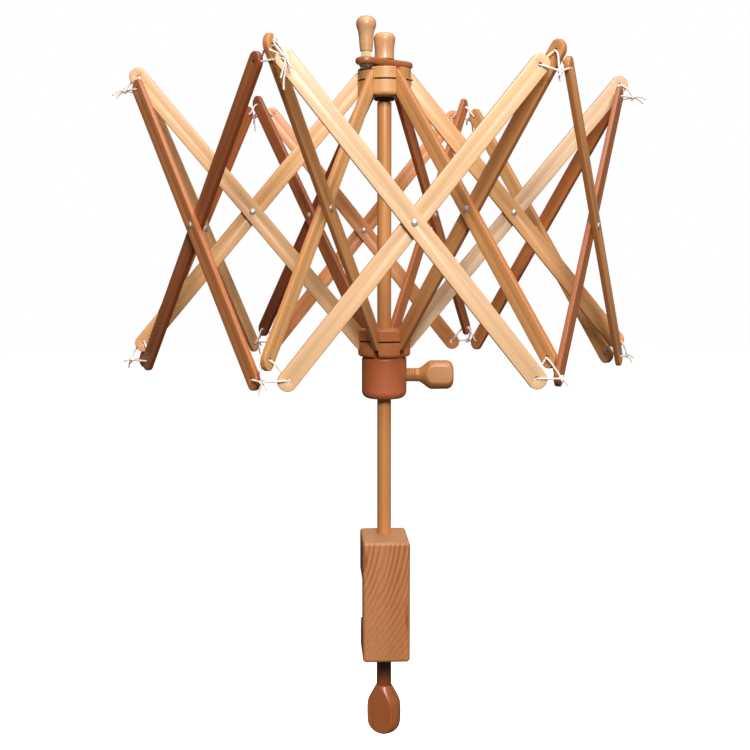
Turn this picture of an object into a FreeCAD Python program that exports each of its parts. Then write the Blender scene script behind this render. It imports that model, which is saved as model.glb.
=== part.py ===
import FreeCAD, Part
import Sketcher
import math
import os

# A table-clamp umbrella swift: twelve spokes between two hubs and six crossed pairs of outer slats,
# all tied at their tips, turning on a rod that stands in a wooden clamp.
# Millimetres. The origin is on the rod's axis at the clamp face that rests on the table top.
# +Z runs up the rod, the clamp's jaw opens towards +Y and the collar's thumbscrew points along +X.

ARMS = 6
UP = FreeCAD.Vector(0, 0, 1)

SIZES = (
    # Clamp block and its screw
    ("block_width", 50, "clamp block across X"),
    ("block_front", 46, "rod axis to the closed side of the block"),
    ("block_back", 28, "rod axis to the tip of the upper jaw"),
    ("lower_back", 16, "rod axis to the tip of the lower jaw"),
    ("upper_jaw", 44, "height of the block above the table face"),
    ("jaw_gap", 54, "clear height of the jaw"),
    ("lower_jaw", 31.8, "height of the block below the jaw"),
    ("spine", 20, "thickness behind the jaw"),
    ("block_round", 3.5, "radius on the block's outer edges"),
    ("block_round_low", 4, "radius where the block's sides meet its lower face"),
    ("socket_depth", 36, "depth of the rod's socket"),
    ("clamp_screw_diameter", 16, "wooden clamp screw"),
    ("clamp_screw_bare", 39.9, "screw showing between block and knob"),
    ("clamp_screw_lift", 12, "screw tip above the lower jaw"),
    ("knob_width", 36.4, "widest part of the clamp knob"),
    ("knob_length", 56, "clamp knob from shoulder to tip"),
    ("knob_waist", 17.4, "clamp knob across its shoulder"),
    ("knob_belly", 23, "height of the widest part above the tip"),
    ("knob_thickness", 20, "clamp knob across its flats"),
    ("pad_diameter", 24, "jaw pad"),
    ("pad_height", 6, "jaw pad"),
    ("pad_socket", 2, "depth of the jaw pad's socket"),
    # Rod and its tenon
    ("rod_diameter", 15, "centre rod"),
    ("rod_round", 1.2, "radius on the rod's shoulder"),
    ("shoulder_height", 505.2, "rod shoulder above the table face"),
    ("tenon_diameter", 8, "thin end of the rod"),
    ("neck_diameter", 10.6, "neck of the hub bush"),
    ("neck_height", 1.2, "neck of the hub bush"),
    ("flange_diameter", 21, "flange of the hub bush"),
    ("flange_height", 2.7, "flange of the hub bush"),
    # Hubs
    ("hub_diameter", 56, "both hubs"),
    ("hub_height", 29, "both hubs"),
    ("hub_below_wire", 16.8, "hub's lower face to the wire"),
    ("hub_round_low", 3.8, "radius on a hub's lower rim"),
    ("hub_round_high", 1, "radius on a hub's upper rim"),
    ("wire_ring", 50, "diameter of the wire's circle"),
    ("wire_diameter", 1.6, "wire that the spokes turn on"),
    ("groove_width", 1.8, "groove round the hub's rim"),
    ("groove_floor", 23.9, "radius of the groove's floor"),
    ("twist_diameter", 2.6, "twisted end of the wire"),
    ("twist_reach", 31, "rod axis to the end of the twist"),
    ("slot_width", 5.6, "slot that takes a spoke"),
    ("slot_floor", 14, "rod axis to the floor of a slot"),
    ("boss_diameter", 22, "boss between hub and crank arm"),
    ("boss_height", 2.8, "boss between hub and crank arm"),
    ("bolt_relief", 16, "diameter of the cut that clears the bolt's head"),
    ("bolt_relief_depth", 3, "depth of that cut"),
    # Crank and cap
    ("crank_offset", 25.3, "rod axis to handle axis"),
    ("arm_width", 22.4, "crank arm"),
    ("arm_thickness", 7.2, "crank arm"),
    ("arm_round", 3.2, "radius on the crank arm's edges"),
    ("nut_flats", 10.6, "spacer nut across its flats"),
    ("nut_height", 6, "spacer nut"),
    ("bolt_diameter", 5, "handle bolt"),
    ("bolt_head", 14.4, "domed head of the handle bolt"),
    ("bolt_head_height", 5.2, "domed head of the handle bolt"),
    ("bolt_reach", 28, "bolt inside the handle"),
    ("handle_length", 36, "handle"),
    ("handle_foot", 12.7, "handle's lower diameter"),
    ("handle_belly", 20.8, "handle's widest diameter"),
    ("handle_belly_height", 27.5, "height of the widest part above the foot"),
    ("handle_waist", 15, "handle where it begins to swell"),
    ("handle_waist_height", 15, "height at which the handle begins to swell"),
    ("handle_crown", 9, "flat on top of the handle"),
    ("handle_bore_spare", 0.5, "handle's bore beyond the bolt's end"),
    ("cap_foot", 20, "cap's lower diameter"),
    ("cap_diameter", 22, "cap's widest diameter"),
    ("cap_height", 27.3, "cap"),
    ("cap_shoulder", 21, "height of the widest part above the cap's foot"),
    ("cap_crown", 9, "flat on top of the cap"),
    ("tenon_in_cap", 18, "tenon inside the cap"),
    # Collar and thumbscrew
    ("collar_diameter", 48, "locking collar"),
    ("collar_height", 45, "locking collar"),
    ("collar_round_low", 8, "radius on the collar's lower rim"),
    ("collar_round_high", 3.5, "radius on the collar's upper rim"),
    ("thumbscrew_diameter", 14.4, "thumbscrew's thread"),
    ("thumbscrew_height", 24.9, "collar's lower face to the thumbscrew's axis"),
    ("thumbscrew_bare", 12, "thread showing outside the collar"),
    ("thumbscrew_flare", 14, "from the thread to the paddle's full height"),
    ("paddle_length", 17, "part of the paddle at full height"),
    ("paddle_tip", 7, "tapered end of the paddle"),
    ("paddle_height", 31, "paddle"),
    ("paddle_end", 17, "paddle across its end"),
    ("paddle_thickness", 24.4, "paddle across its flats"),
    ("shoe_diameter", 12, "leather shoe between thumbscrew and rod"),
    ("shoe_thickness", 3, "leather shoe at its middle"),
    # Slats, rivets and string
    ("slat_pitch", 355, "end hole to end hole"),
    ("slat_end", 10, "slat beyond an end hole"),
    ("slat_width", 18, "slat"),
    ("slat_thickness", 5, "slat"),
    ("slat_corner", 8.6, "radius on a slat's corners"),
    ("wire_hole", 3, "hole in a spoke for the hub wire"),
    ("string_hole", 4, "hole in a slat for the string"),
    ("rivet_diameter", 2.6, "rivet shank"),
    ("rivet_head", 6.6, "rivet head"),
    ("rivet_head_height", 1.6, "rivet head"),
    ("string_diameter", 1.8, "cotton string"),
    ("knot_diameter", 4.6, "knot in a tie"),
    ("knot_gap", 1.5, "between the two string ends inside a knot"),
    ("knot_out", 14.4, "knot beyond the slats' corner, clear of the outer slat's face"),
    ("tie_standoff", 2.8, "slat's face to the string that turns past it"),
    ("tie_side", 15.4, "spoke tip to the hole of an outer slat, along the rim"),
    ("tie_out", 6, "outer slats' meeting plane beyond the spoke tips"),
    ("tie_drop", 13.4, "outer slats' upper holes below the spoke tips"),
    # Clearances
    ("running_fit", 0.08, "radial clearance of a turning or sliding fit"),
    ("face_gap", 0.1, "gap between faces that turn on each other"),
    ("cap_gap", 0.3, "gap under the cap"),
    ("slat_gap", 0.2, "gap between two riveted slats"),
)

# Angles in degrees, at the stored pose.
SPOKE_SLOPE = 50
PANEL_SLOPE = 51.2
FIRST_ARM = 3.1
CRANK_TURN = 218.5
UPPER_TWIST_TURN = -23.5
LOWER_TWIST_TURN = 96.5
KNOB_TURN = -42
PADDLE_TURN = -7

# The clamp knob's profile: steps in each half, and how full its shoulder is.
KNOB_STEPS = 7
KNOB_FULLNESS = 0.6
# How much flatter than a quarter circle the shoulders of cap and handle are.
SHOULDER_FLATNESS = 1.06
# Share of the shorter run that a bend of the string takes, and how far its volume may be off.
STRING_BEND_SHARE = 0.42
STRING_VOLUME_SLACK = 0.02

# Millimetres: two places this close are one place, and the flat left between two large fillets.
NEAR = 1e-3
FLAT_LEFT = 0.01


class Size:
    """A size that knows its value and the formula that a feature is bound to."""

    def __init__(self, value, formula):
        self.value = value
        self.formula = formula

    def __add__(self, other):
        other = as_size(other)
        return Size(self.value + other.value, f"({self.formula} + {other.formula})")

    def __sub__(self, other):
        other = as_size(other)
        return Size(self.value - other.value, f"({self.formula} - {other.formula})")

    def __mul__(self, other):
        other = as_size(other)
        return Size(self.value * other.value, f"({self.formula} * {other.formula})")

    def __truediv__(self, other):
        other = as_size(other)
        return Size(self.value / other.value, f"({self.formula} / {other.formula})")


def as_size(thing):
    """A Size as it is, and a plain number as a Size."""
    if isinstance(thing, Size):
        return thing
    return Size(thing, f"{thing:.6g}")


class Sheet:
    """The document's table of driving sizes, read as attributes."""

    def __init__(self, doc, rows):
        cells = doc.addObject("Spreadsheet::Sheet", "Sizes")
        for row, (name, value, meaning) in enumerate(rows, start=1):
            cells.set(f"A{row}", name)
            cells.set(f"B{row}", f"{value:g}")
            cells.set(f"C{row}", meaning)
            cells.setAlias(f"B{row}", name)
            setattr(self, name, Size(value, f"Sizes.{name}"))


doc = FreeCAD.newDocument("YarnSwift")
size = Sheet(doc, SIZES)
doc.recompute()
nodes = {}


# Building blocks

def bind(thing, **formulas):
    """Ties properties of an object to sizes."""
    for name, value in formulas.items():
        thing.setExpression(name, as_size(value).formula)


def node(thing, name):
    """Makes an object one of the sub-parts that are written out."""
    thing.Label = name
    nodes[name] = thing
    return thing


def new_body(name):
    """An empty body."""
    return doc.addObject("PartDesign::Body", name)


def new_sketch(body, role, lift=None):
    """A sketch on one of the body's own planes, lifted along its normal."""
    sketch = body.newObject("Sketcher::SketchObject", f"{body.Name}_sketch")
    plane = [item for item in body.Origin.OriginFeatures if item.Role == role][0]
    sketch.AttachmentSupport = [(plane, "")]
    sketch.MapMode = "FlatFace"
    if lift is not None:
        sketch.setExpression("AttachmentOffset.Base.z", lift.formula)
    return sketch


def place_point(sketch, geometry, end, spot):
    """Fixes one end of a sketch element at a spot given by two sizes."""
    for axis, (kind, value) in enumerate(zip(("DistanceX", "DistanceY"), spot)):
        if isinstance(value, Size):
            index = sketch.addConstraint(Sketcher.Constraint(kind, -1, 1, geometry, end, value.value))
            sketch.setExpression(f"Constraints[{index}]", value.formula)
        else:
            sketch.addConstraint(Sketcher.Constraint("PointOnObject", geometry, end, axis - 2))


def arc_between(start, end, radius):
    """The shorter arc of this radius that leaves its centre on the left of the way it runs."""
    chord = end - start
    across = FreeCAD.Vector(-chord.y, chord.x, 0).normalize()
    reach = math.sqrt(max(radius ** 2 - (chord.Length / 2) ** 2, 0))
    centre = (start + end) / 2 + across * reach
    first = math.atan2(start.y - centre.y, start.x - centre.x)
    last = math.atan2(end.y - centre.y, end.x - centre.x)
    if last < first:
        last += 2 * math.pi
    return Part.ArcOfCircle(Part.Circle(centre, UP, radius), first, last)


def outline(sketch, steps):
    """A closed outline, anticlockwise: (across, up) is a corner that a straight side leaves,
    and (across, up, radius) a corner that an outward arc leaves."""
    spots = [FreeCAD.Vector(as_size(step[0]).value, as_size(step[1]).value, 0) for step in steps]
    first = sketch.GeometryCount
    for index, step in enumerate(steps):
        start = spots[index]
        end = spots[(index + 1) % len(steps)]
        if len(step) == 3:
            sketch.addGeometry(arc_between(start, end, step[2].value), False)
        else:
            sketch.addGeometry(Part.LineSegment(start, end), False)
    for index, step in enumerate(steps):
        after = first + (index + 1) % len(steps)
        sketch.addConstraint(Sketcher.Constraint("Coincident", first + index, 2, after, 1))
    for index, step in enumerate(steps):
        place_point(sketch, first + index, 1, step[:2])
        if len(step) == 3:
            radius = Sketcher.Constraint("Radius", first + index, step[2].value)
            bound = sketch.addConstraint(radius)
            sketch.setExpression(f"Constraints[{bound}]", step[2].formula)


def circle(sketch, across, up, diameter):
    """A circle with its centre at two sizes."""
    spot = FreeCAD.Vector(as_size(across).value, as_size(up).value, 0)
    ring = sketch.addGeometry(Part.Circle(spot, UP, diameter.value / 2), False)
    place_point(sketch, ring, 3, (across, up))
    bound = sketch.addConstraint(Sketcher.Constraint("Diameter", ring, diameter.value))
    sketch.setExpression(f"Constraints[{bound}]", diameter.formula)


def pad(body, sketch, length, both_ways=False):
    """A sketch made solid, upwards or to both sides of its plane."""
    feature = body.newObject("PartDesign::Pad", f"{body.Name}_pad")
    feature.Profile = sketch
    feature.Midplane = both_ways
    bind(feature, Length=length)
    return feature


def pocket(body, sketch, length=None, upwards=False):
    """A sketch cut out of the body, to a depth or right through."""
    feature = body.newObject("PartDesign::Pocket", f"{body.Name}_pocket")
    feature.Profile = sketch
    feature.Reversed = upwards
    if length is None:
        feature.Type = "ThroughAll"
    else:
        bind(feature, Length=length)
    return feature


def soften(body, radius, wanted):
    """A fillet on every edge that wanted() picks."""
    doc.recompute()
    base = body.Tip
    picked = [f"Edge{number}" for number, edge in enumerate(base.Shape.Edges, start=1) if wanted(edge)]
    feature = body.newObject("PartDesign::Fillet", f"{body.Name}_round")
    feature.Base = (base, picked)
    bind(feature, Radius=radius)
    return feature


def is_rim(edge, radius, height):
    """Whether an edge is the level circle of this radius at this height."""
    curve = edge.Curve
    if not isinstance(curve, Part.Circle):
        return False
    level = abs(abs(curve.Axis.z) - 1) < NEAR
    return level and abs(curve.Radius - radius) < NEAR and abs(curve.Center.z - height) < NEAR


def turned(name, steps):
    """A body turned round Z from a half profile of (radius, height) corners."""
    body = new_body(name)
    sketch = new_sketch(body, "XZ_Plane")
    outline(sketch, steps)
    feature = body.newObject("PartDesign::Revolution", f"{name}_turned")
    feature.Profile = sketch
    feature.ReferenceAxis = (sketch, ["V_Axis"])
    feature.Angle = 360
    return body


def lift(thing, height):
    """Raises an object to a height that stays bound to the sheet."""
    thing.setExpression("Placement.Base.z", as_size(height).formula)


def box(name, length, width, height):
    """A box with its low corner at its own origin."""
    thing = doc.addObject("Part::Box", name)
    bind(thing, Length=length, Width=width, Height=height)
    return thing


def rod(name, diameter, length):
    """A cylinder standing on its own origin."""
    thing = doc.addObject("Part::Cylinder", name)
    bind(thing, Radius=diameter / 2, Height=length)
    return thing


def boolean(kind, name, base, tool):
    """One object cut by, joined to or shared with another."""
    thing = doc.addObject(f"Part::{kind}", name)
    thing.Base = base
    thing.Tool = tool
    return thing


def heading(degrees):
    """The level direction at this many degrees round the rod."""
    turn = math.radians(degrees)
    return FreeCAD.Vector(math.cos(turn), math.sin(turn), 0)


def aim(base, along, normal):
    """The placement that turns X along one direction and Z along another."""
    return FreeCAD.Placement(base, FreeCAD.Rotation(along, normal.cross(along), normal, "XZY"))


def bulge(half_chord, rise):
    """The radius of a shallow dome, from its half width and its rise."""
    return (half_chord * half_chord + rise * rise) / (rise * 2)


# Heights along the rod

bush_top = size.shoulder_height + size.neck_height + size.flange_height
upper_hub_base = bush_top + size.face_gap
upper_wire = upper_hub_base + size.hub_below_wire
upper_hub_top = upper_hub_base + size.hub_height
arm_base = upper_hub_top + size.boss_height
arm_top = arm_base + size.arm_thickness
cap_base = arm_top + size.cap_gap
handle_base = arm_top + size.nut_height
bore_diameter = size.running_fit * 2

spoke_run = size.slat_pitch.value * math.cos(math.radians(SPOKE_SLOPE))
spoke_rise = size.slat_pitch.value * math.sin(math.radians(SPOKE_SLOPE))
layer = (size.slat_thickness.value + size.slat_gap.value) / 2
pivot_reach = math.sqrt((size.wire_ring.value / 2) ** 2 - layer ** 2)
lower_wire_height = upper_wire.value - spoke_rise
lower_hub_height = lower_wire_height - size.hub_below_wire.value
collar_top = lower_hub_height - size.face_gap.value


# Clamp

def clamp_block():
    """The C-shaped block: socket on top for the rod, screw hole below the jaw."""
    body = new_body("clamp_block_body")
    depth = size.block_front + size.block_back
    low_depth = size.block_front + size.lower_back
    jaw_floor = size.lower_jaw
    jaw_roof = size.lower_jaw + size.jaw_gap
    top = jaw_roof + size.upper_jaw
    side = new_sketch(body, "YZ_Plane")
    corners = (
        (0, 0), (low_depth, 0), (low_depth, jaw_floor), (size.spine, jaw_floor),
        (size.spine, jaw_roof), (depth, jaw_roof), (depth, top), (0, top),
    )
    outline(side, corners)
    pad(body, side, size.block_width, both_ways=True)

    def low_side(edge):
        """The two edges between the block's sides and its lower face."""
        middle = edge.CenterOfMass
        return abs(middle.z) < NEAR and abs(middle.x) > size.block_width.value / 2 - NEAR

    def outer(edge):
        """The other outside edges, leaving the jaw's own edges sharp."""
        middle = edge.CenterOfMass
        by_jaw = jaw_floor.value - NEAR < middle.z < jaw_roof.value + NEAR
        in_jaw = by_jaw and middle.y > size.spine.value - NEAR
        low_x = size.block_width.value / 2 - size.block_round_low.value - NEAR
        low_blend = middle.z < size.block_round_low.value + NEAR and abs(middle.x) > low_x
        on_blend = low_blend and edge.BoundBox.YLength > NEAR
        return not in_jaw and not on_blend

    soften(body, size.block_round_low, low_side)
    soften(body, size.block_round, outer)
    screw_hole = new_sketch(body, "XY_Plane")
    circle(screw_hole, 0, size.block_front, size.clamp_screw_diameter + bore_diameter)
    pocket(body, screw_hole, jaw_floor, upwards=True)
    socket = new_sketch(body, "XY_Plane", lift=top)
    circle(socket, 0, size.block_front, size.rod_diameter)
    pocket(body, socket, size.socket_depth)
    body.setExpression("Placement.Base.y", (as_size(0) - size.block_front).formula)
    lift(body, as_size(0) - jaw_roof)
    return node(body, "clamp_block")


def egg_outline():
    """Half profile of the clamp knob: a round belly that runs up into a fuller shoulder."""
    half = size.knob_width / 2
    upper = size.knob_length - size.knob_belly
    waist = size.knob_waist.value / size.knob_width.value
    last = math.acos(waist ** (1 / KNOB_FULLNESS))
    steps = [(0, 0)]
    for count in range(1, KNOB_STEPS + 1):
        turn = math.radians(90 * count / KNOB_STEPS)
        steps.append((half * math.sin(turn), size.knob_belly * (1 - math.cos(turn))))
    for count in range(1, KNOB_STEPS):
        turn = last * count / KNOB_STEPS
        rise = math.sin(turn) / math.sin(last)
        steps.append((half * math.cos(turn) ** KNOB_FULLNESS, size.knob_belly + upper * rise))
    return steps + [(size.knob_waist / 2, size.knob_length), (0, size.knob_length)]


def clamp_screw():
    """The wooden screw with its flattened egg of a knob, which turns up into the jaw pad."""
    egg = turned("knob_egg", egg_outline())
    slab = box("knob_slab", size.knob_width * 2, size.knob_thickness, size.knob_length * 2)
    slab.setExpression("Placement.Base.x", (as_size(0) - size.knob_width).formula)
    slab.setExpression("Placement.Base.y", (as_size(0) - size.knob_thickness / 2).formula)
    lift(slab, as_size(0) - size.knob_length / 2)
    knob = boolean("Common", "knob", egg, slab)
    length = size.clamp_screw_bare + size.lower_jaw + size.clamp_screw_lift
    shaft = rod("screw_shaft", size.clamp_screw_diameter, length)
    lift(shaft, size.knob_length)
    whole = boolean("Fuse", "clamp_screw_wood", knob, shaft)
    whole.Placement = FreeCAD.Placement(FreeCAD.Vector(), FreeCAD.Rotation(UP, KNOB_TURN))
    foot = as_size(0) - size.jaw_gap - size.lower_jaw - size.clamp_screw_bare - size.knob_length
    lift(whole, foot)
    return node(whole, "clamp_screw")


def jaw_pad():
    """The pad that the clamp screw's tip turns in and that presses the table from below."""
    outer = size.pad_diameter / 2
    inner = (size.clamp_screw_diameter + bore_diameter) / 2
    body = turned("jaw_pad_body", (
        (inner, 0), (outer, 0), (outer, size.pad_height), (0, size.pad_height),
        (0, size.pad_socket), (inner, size.pad_socket),
    ))
    lift(body, size.clamp_screw_lift - size.jaw_gap - size.pad_socket)
    return node(body, "jaw_pad")


# Rod, bush and cap

def centre_rod():
    """The rod in its socket, with the tenon that the upper hub turns on."""
    outer = size.rod_diameter / 2
    inner = size.tenon_diameter / 2
    base = size.upper_jaw - size.socket_depth
    shoulder = size.shoulder_height - base
    tip = cap_base + size.tenon_in_cap - base
    body = turned("centre_rod_body", (
        (0, 0), (outer, 0), (outer, shoulder), (inner, shoulder), (inner, tip), (0, tip),
    ))
    soften(body, size.rod_round, lambda edge: is_rim(edge, outer.value, shoulder.value))
    lift(body, base)
    return node(body, "centre_rod")


def hub_bush():
    """The flanged bush on the rod's shoulder that carries the upper hub."""
    inner = size.tenon_diameter / 2
    neck = size.neck_diameter / 2
    flange = size.flange_diameter / 2
    top = size.neck_height + size.flange_height
    body = turned("hub_bush_body", (
        (inner, 0), (neck, 0), (neck, size.neck_height), (flange, size.neck_height),
        (flange, top), (inner, top),
    ))
    lift(body, size.shoulder_height)
    return node(body, "hub_bush")


def top_cap():
    """The turned cap glued on the tenon, which keeps the hub on."""
    foot = size.cap_foot / 2
    widest = size.cap_diameter / 2
    crown = size.cap_crown / 2
    bore = size.tenon_diameter / 2
    rise = size.cap_height - size.cap_shoulder
    step_in = widest - crown
    body = turned("top_cap_body", (
        (bore, 0), (foot, 0), (widest, size.cap_shoulder, bulge_corner(step_in, rise)),
        (crown, size.cap_height), (0, size.cap_height), (0, size.tenon_in_cap),
        (bore, size.tenon_in_cap),
    ))
    lift(body, cap_base)
    return node(body, "top_cap")


def bulge_corner(across, up):
    """The radius that rounds a shoulder of this width and height."""
    return (across * across + up * up) / (across + up) * SHOULDER_FLATNESS


# Hubs

def hub(name, bore, height, slot_side, has_boss):
    """A hub: six slots for the spokes and a grooved rim for the wire, on the given side of the
    arm planes; the upper one also has the boss and the cut for the crank."""
    outer = size.hub_diameter / 2
    inner = bore / 2
    low = size.hub_below_wire - size.groove_width / 2
    high = size.hub_below_wire + size.groove_width / 2
    steps = [
        (inner, 0), (outer, 0), (outer, low), (size.groove_floor, low), (size.groove_floor, high),
        (outer, high), (outer, size.hub_height),
    ]
    if has_boss:
        boss = size.boss_diameter / 2
        boss_top = size.hub_height + size.boss_height
        steps += [(boss, size.hub_height), (boss, boss_top), (inner, boss_top)]
    else:
        steps += [(inner, size.hub_height)]
    body = turned(f"{name}_body", steps)
    soften(body, size.hub_round_low, lambda edge: is_rim(edge, outer.value, 0))
    soften(body, size.hub_round_high, lambda edge: is_rim(edge, outer.value, size.hub_height.value))
    slot = new_sketch(body, "XY_Plane")
    offset = (size.slat_thickness + size.slat_gap) / 2
    near = size.slot_width / 2 - offset
    far = size.slot_width / 2 + offset
    if slot_side < 0:
        low_side, high_side = as_size(0) - far, near
    else:
        low_side, high_side = as_size(0) - near, far
    outline(slot, (
        (size.slot_floor, low_side), (size.hub_diameter, low_side),
        (size.hub_diameter, high_side), (size.slot_floor, high_side),
    ))
    cut = pocket(body, slot, size.hub_height, upwards=True)
    ring = body.newObject("PartDesign::PolarPattern", f"{name}_slots")
    ring.Originals = [cut]
    ring.Axis = (slot, ["N_Axis"])
    ring.Angle = 360
    ring.Occurrences = ARMS
    body.Tip = ring
    if has_boss:
        doc.recompute()
        relief = new_sketch(body, "XY_Plane", lift=size.hub_height)
        turn = as_size(CRANK_TURN - FIRST_ARM)
        across = Size(math.cos(math.radians(turn.value)), f"cos({turn.formula})")
        up = Size(math.sin(math.radians(turn.value)), f"sin({turn.formula})")
        circle(relief, size.crank_offset * across, size.crank_offset * up, size.bolt_relief)
        pocket(body, relief, size.bolt_relief_depth)
    body.Placement = FreeCAD.Placement(FreeCAD.Vector(0, 0, height), FreeCAD.Rotation(UP, FIRST_ARM))
    return node(body, name)


def hub_wire(name, height, turn):
    """The wire ring in a hub's groove, with its twisted end standing out of the rim."""
    ring = doc.addObject("Part::Torus", f"{name}_ring")
    bind(ring, Radius1=size.wire_ring / 2, Radius2=size.wire_diameter / 2)
    out = heading(turn)
    aside = FreeCAD.Rotation(UP, out)
    stem = rod(f"{name}_stem", size.wire_diameter, size.twist_reach - size.wire_ring / 2)
    stem.Placement = FreeCAD.Placement(out * (size.wire_ring.value / 2), aside)
    start = size.hub_diameter / 2 + size.face_gap
    twist = rod(f"{name}_twist", size.twist_diameter, size.twist_reach - start)
    twist.Placement = FreeCAD.Placement(out * start.value, aside)
    tail = boolean("Fuse", f"{name}_tail", stem, twist)
    whole = boolean("Fuse", f"{name}_metal", ring, tail)
    whole.Placement = FreeCAD.Placement(FreeCAD.Vector(0, 0, height), FreeCAD.Rotation())
    return node(whole, name)


# Crank

def crank_arm():
    """The flat arm on the upper hub, rounded all over its edges."""
    body = new_body("crank_arm_body")
    sketch = new_sketch(body, "XY_Plane")
    reach = size.crank_offset + size.arm_width / 2
    half = size.arm_width / 2
    outline(sketch, (
        (as_size(0) - reach, as_size(0) - half), (reach, as_size(0) - half),
        (reach, half), (as_size(0) - reach, half),
    ))
    pad(body, sketch, size.arm_thickness)

    def upright(edge):
        """The arm's four corner edges."""
        return abs(edge.tangentAt(edge.FirstParameter).z) > 1 - NEAR

    def level(edge):
        """The edges round the arm's two faces."""
        height = edge.CenterOfMass.z
        return height < NEAR or height > size.arm_thickness.value - NEAR

    soften(body, half - FLAT_LEFT, upright)
    soften(body, size.arm_round, level)
    holes = new_sketch(body, "XY_Plane")
    circle(holes, 0, 0, size.tenon_diameter + bore_diameter)
    circle(holes, size.crank_offset, 0, size.bolt_diameter)
    pocket(body, holes, size.arm_thickness, upwards=True)
    body.Placement = FreeCAD.Placement(
        FreeCAD.Vector(0, 0, arm_base.value), FreeCAD.Rotation(UP, CRANK_TURN))
    return node(body, "crank_arm")


def handle_bolt():
    """The bolt that the handle turns on: a domed head under the arm and a shank above it."""
    head = size.bolt_head / 2
    shank = size.bolt_diameter / 2
    top = size.bolt_head_height + size.arm_thickness + size.nut_height + size.bolt_reach
    body = turned("handle_bolt_body", (
        (0, 0, bulge(head, size.bolt_head_height)), (head, size.bolt_head_height),
        (shank, size.bolt_head_height), (shank, top), (0, top),
    ))
    spot = heading(CRANK_TURN) * size.crank_offset.value
    spot.z = arm_base.value - size.bolt_head_height.value
    body.Placement = FreeCAD.Placement(spot, FreeCAD.Rotation())
    return node(body, "handle_bolt")


def handle_nut():
    """The hexagonal nut between arm and handle."""
    prism = doc.addObject("Part::Prism", "handle_nut_hexagon")
    prism.Polygon = 6
    bind(prism, Circumradius=size.nut_flats / math.sqrt(3), Height=size.nut_height)
    hole = rod("handle_nut_hole", size.bolt_diameter, size.nut_height)
    nut = boolean("Cut", "handle_nut_metal", prism, hole)
    spot = heading(CRANK_TURN) * size.crank_offset.value
    spot.z = arm_top.value
    nut.Placement = FreeCAD.Placement(spot, FreeCAD.Rotation())
    return node(nut, "handle_nut")


def crank_handle():
    """The turned grip, widest near its top, with the bolt's bore inside."""
    foot = size.handle_foot / 2
    belly = size.handle_belly / 2
    crown = size.handle_crown / 2
    bore = (size.bolt_diameter + bore_diameter) / 2
    depth = size.bolt_reach + size.handle_bore_spare
    waist = size.handle_waist / 2
    widen = belly - waist
    rise = size.handle_belly_height - size.handle_waist_height
    swell = (widen * widen + rise * rise) / (widen * 2)
    top = size.handle_length - size.handle_belly_height
    body = turned("crank_handle_body", (
        (bore, 0), (foot, 0), (waist, size.handle_waist_height, swell),
        (belly, size.handle_belly_height, bulge_corner(belly - crown, top)),
        (crown, size.handle_length), (0, size.handle_length), (0, depth), (bore, depth),
    ))
    spot = heading(CRANK_TURN) * size.crank_offset.value
    spot.z = handle_base.value + size.face_gap.value
    body.Placement = FreeCAD.Placement(spot, FreeCAD.Rotation())
    return node(body, "crank_handle")


# Collar

def collar():
    """The locking collar under the lower hub, with the thumbscrew's hole in its side."""
    outer = size.collar_diameter / 2
    inner = (size.rod_diameter + bore_diameter) / 2
    body = turned("collar_body", (
        (inner, 0), (outer, 0), (outer, size.collar_height), (inner, size.collar_height),
    ))
    soften(body, size.collar_round_low, lambda edge: is_rim(edge, outer.value, 0))
    soften(body, size.collar_round_high,
           lambda edge: is_rim(edge, outer.value, size.collar_height.value))
    hole = new_sketch(body, "YZ_Plane")
    circle(hole, 0, size.thumbscrew_height, size.thumbscrew_diameter + bore_diameter)
    pocket(body, hole, size.collar_diameter, upwards=True)
    body.Placement = FreeCAD.Placement(
        FreeCAD.Vector(0, 0, collar_top - size.collar_height.value), FreeCAD.Rotation())
    return node(body, "collar")


def thumbscrew_axis():
    """Height of the thumbscrew's axis."""
    return collar_top - size.collar_height.value + size.thumbscrew_height.value


def shoe_outer():
    """Rod axis to the shoe's outer face."""
    return size.rod_diameter / 2 + size.running_fit + size.shoe_thickness


def collar_shoe():
    """The leather shoe in the thumbscrew's hole, hollowed to the rod."""
    disc = rod("collar_shoe_disc", size.shoe_diameter, shoe_outer())
    disc.Placement = FreeCAD.Placement(FreeCAD.Vector(), FreeCAD.Rotation(UP, heading(0)))
    around = rod("collar_shoe_hollow", size.rod_diameter + bore_diameter, size.shoe_diameter * 2)
    around.setExpression("Placement.Base.z", (as_size(0) - size.shoe_diameter).formula)
    shoe = boolean("Cut", "collar_shoe_leather", disc, around)
    shoe.Placement = FreeCAD.Placement(FreeCAD.Vector(0, 0, thumbscrew_axis()), FreeCAD.Rotation())
    return node(shoe, "collar_shoe")


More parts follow.
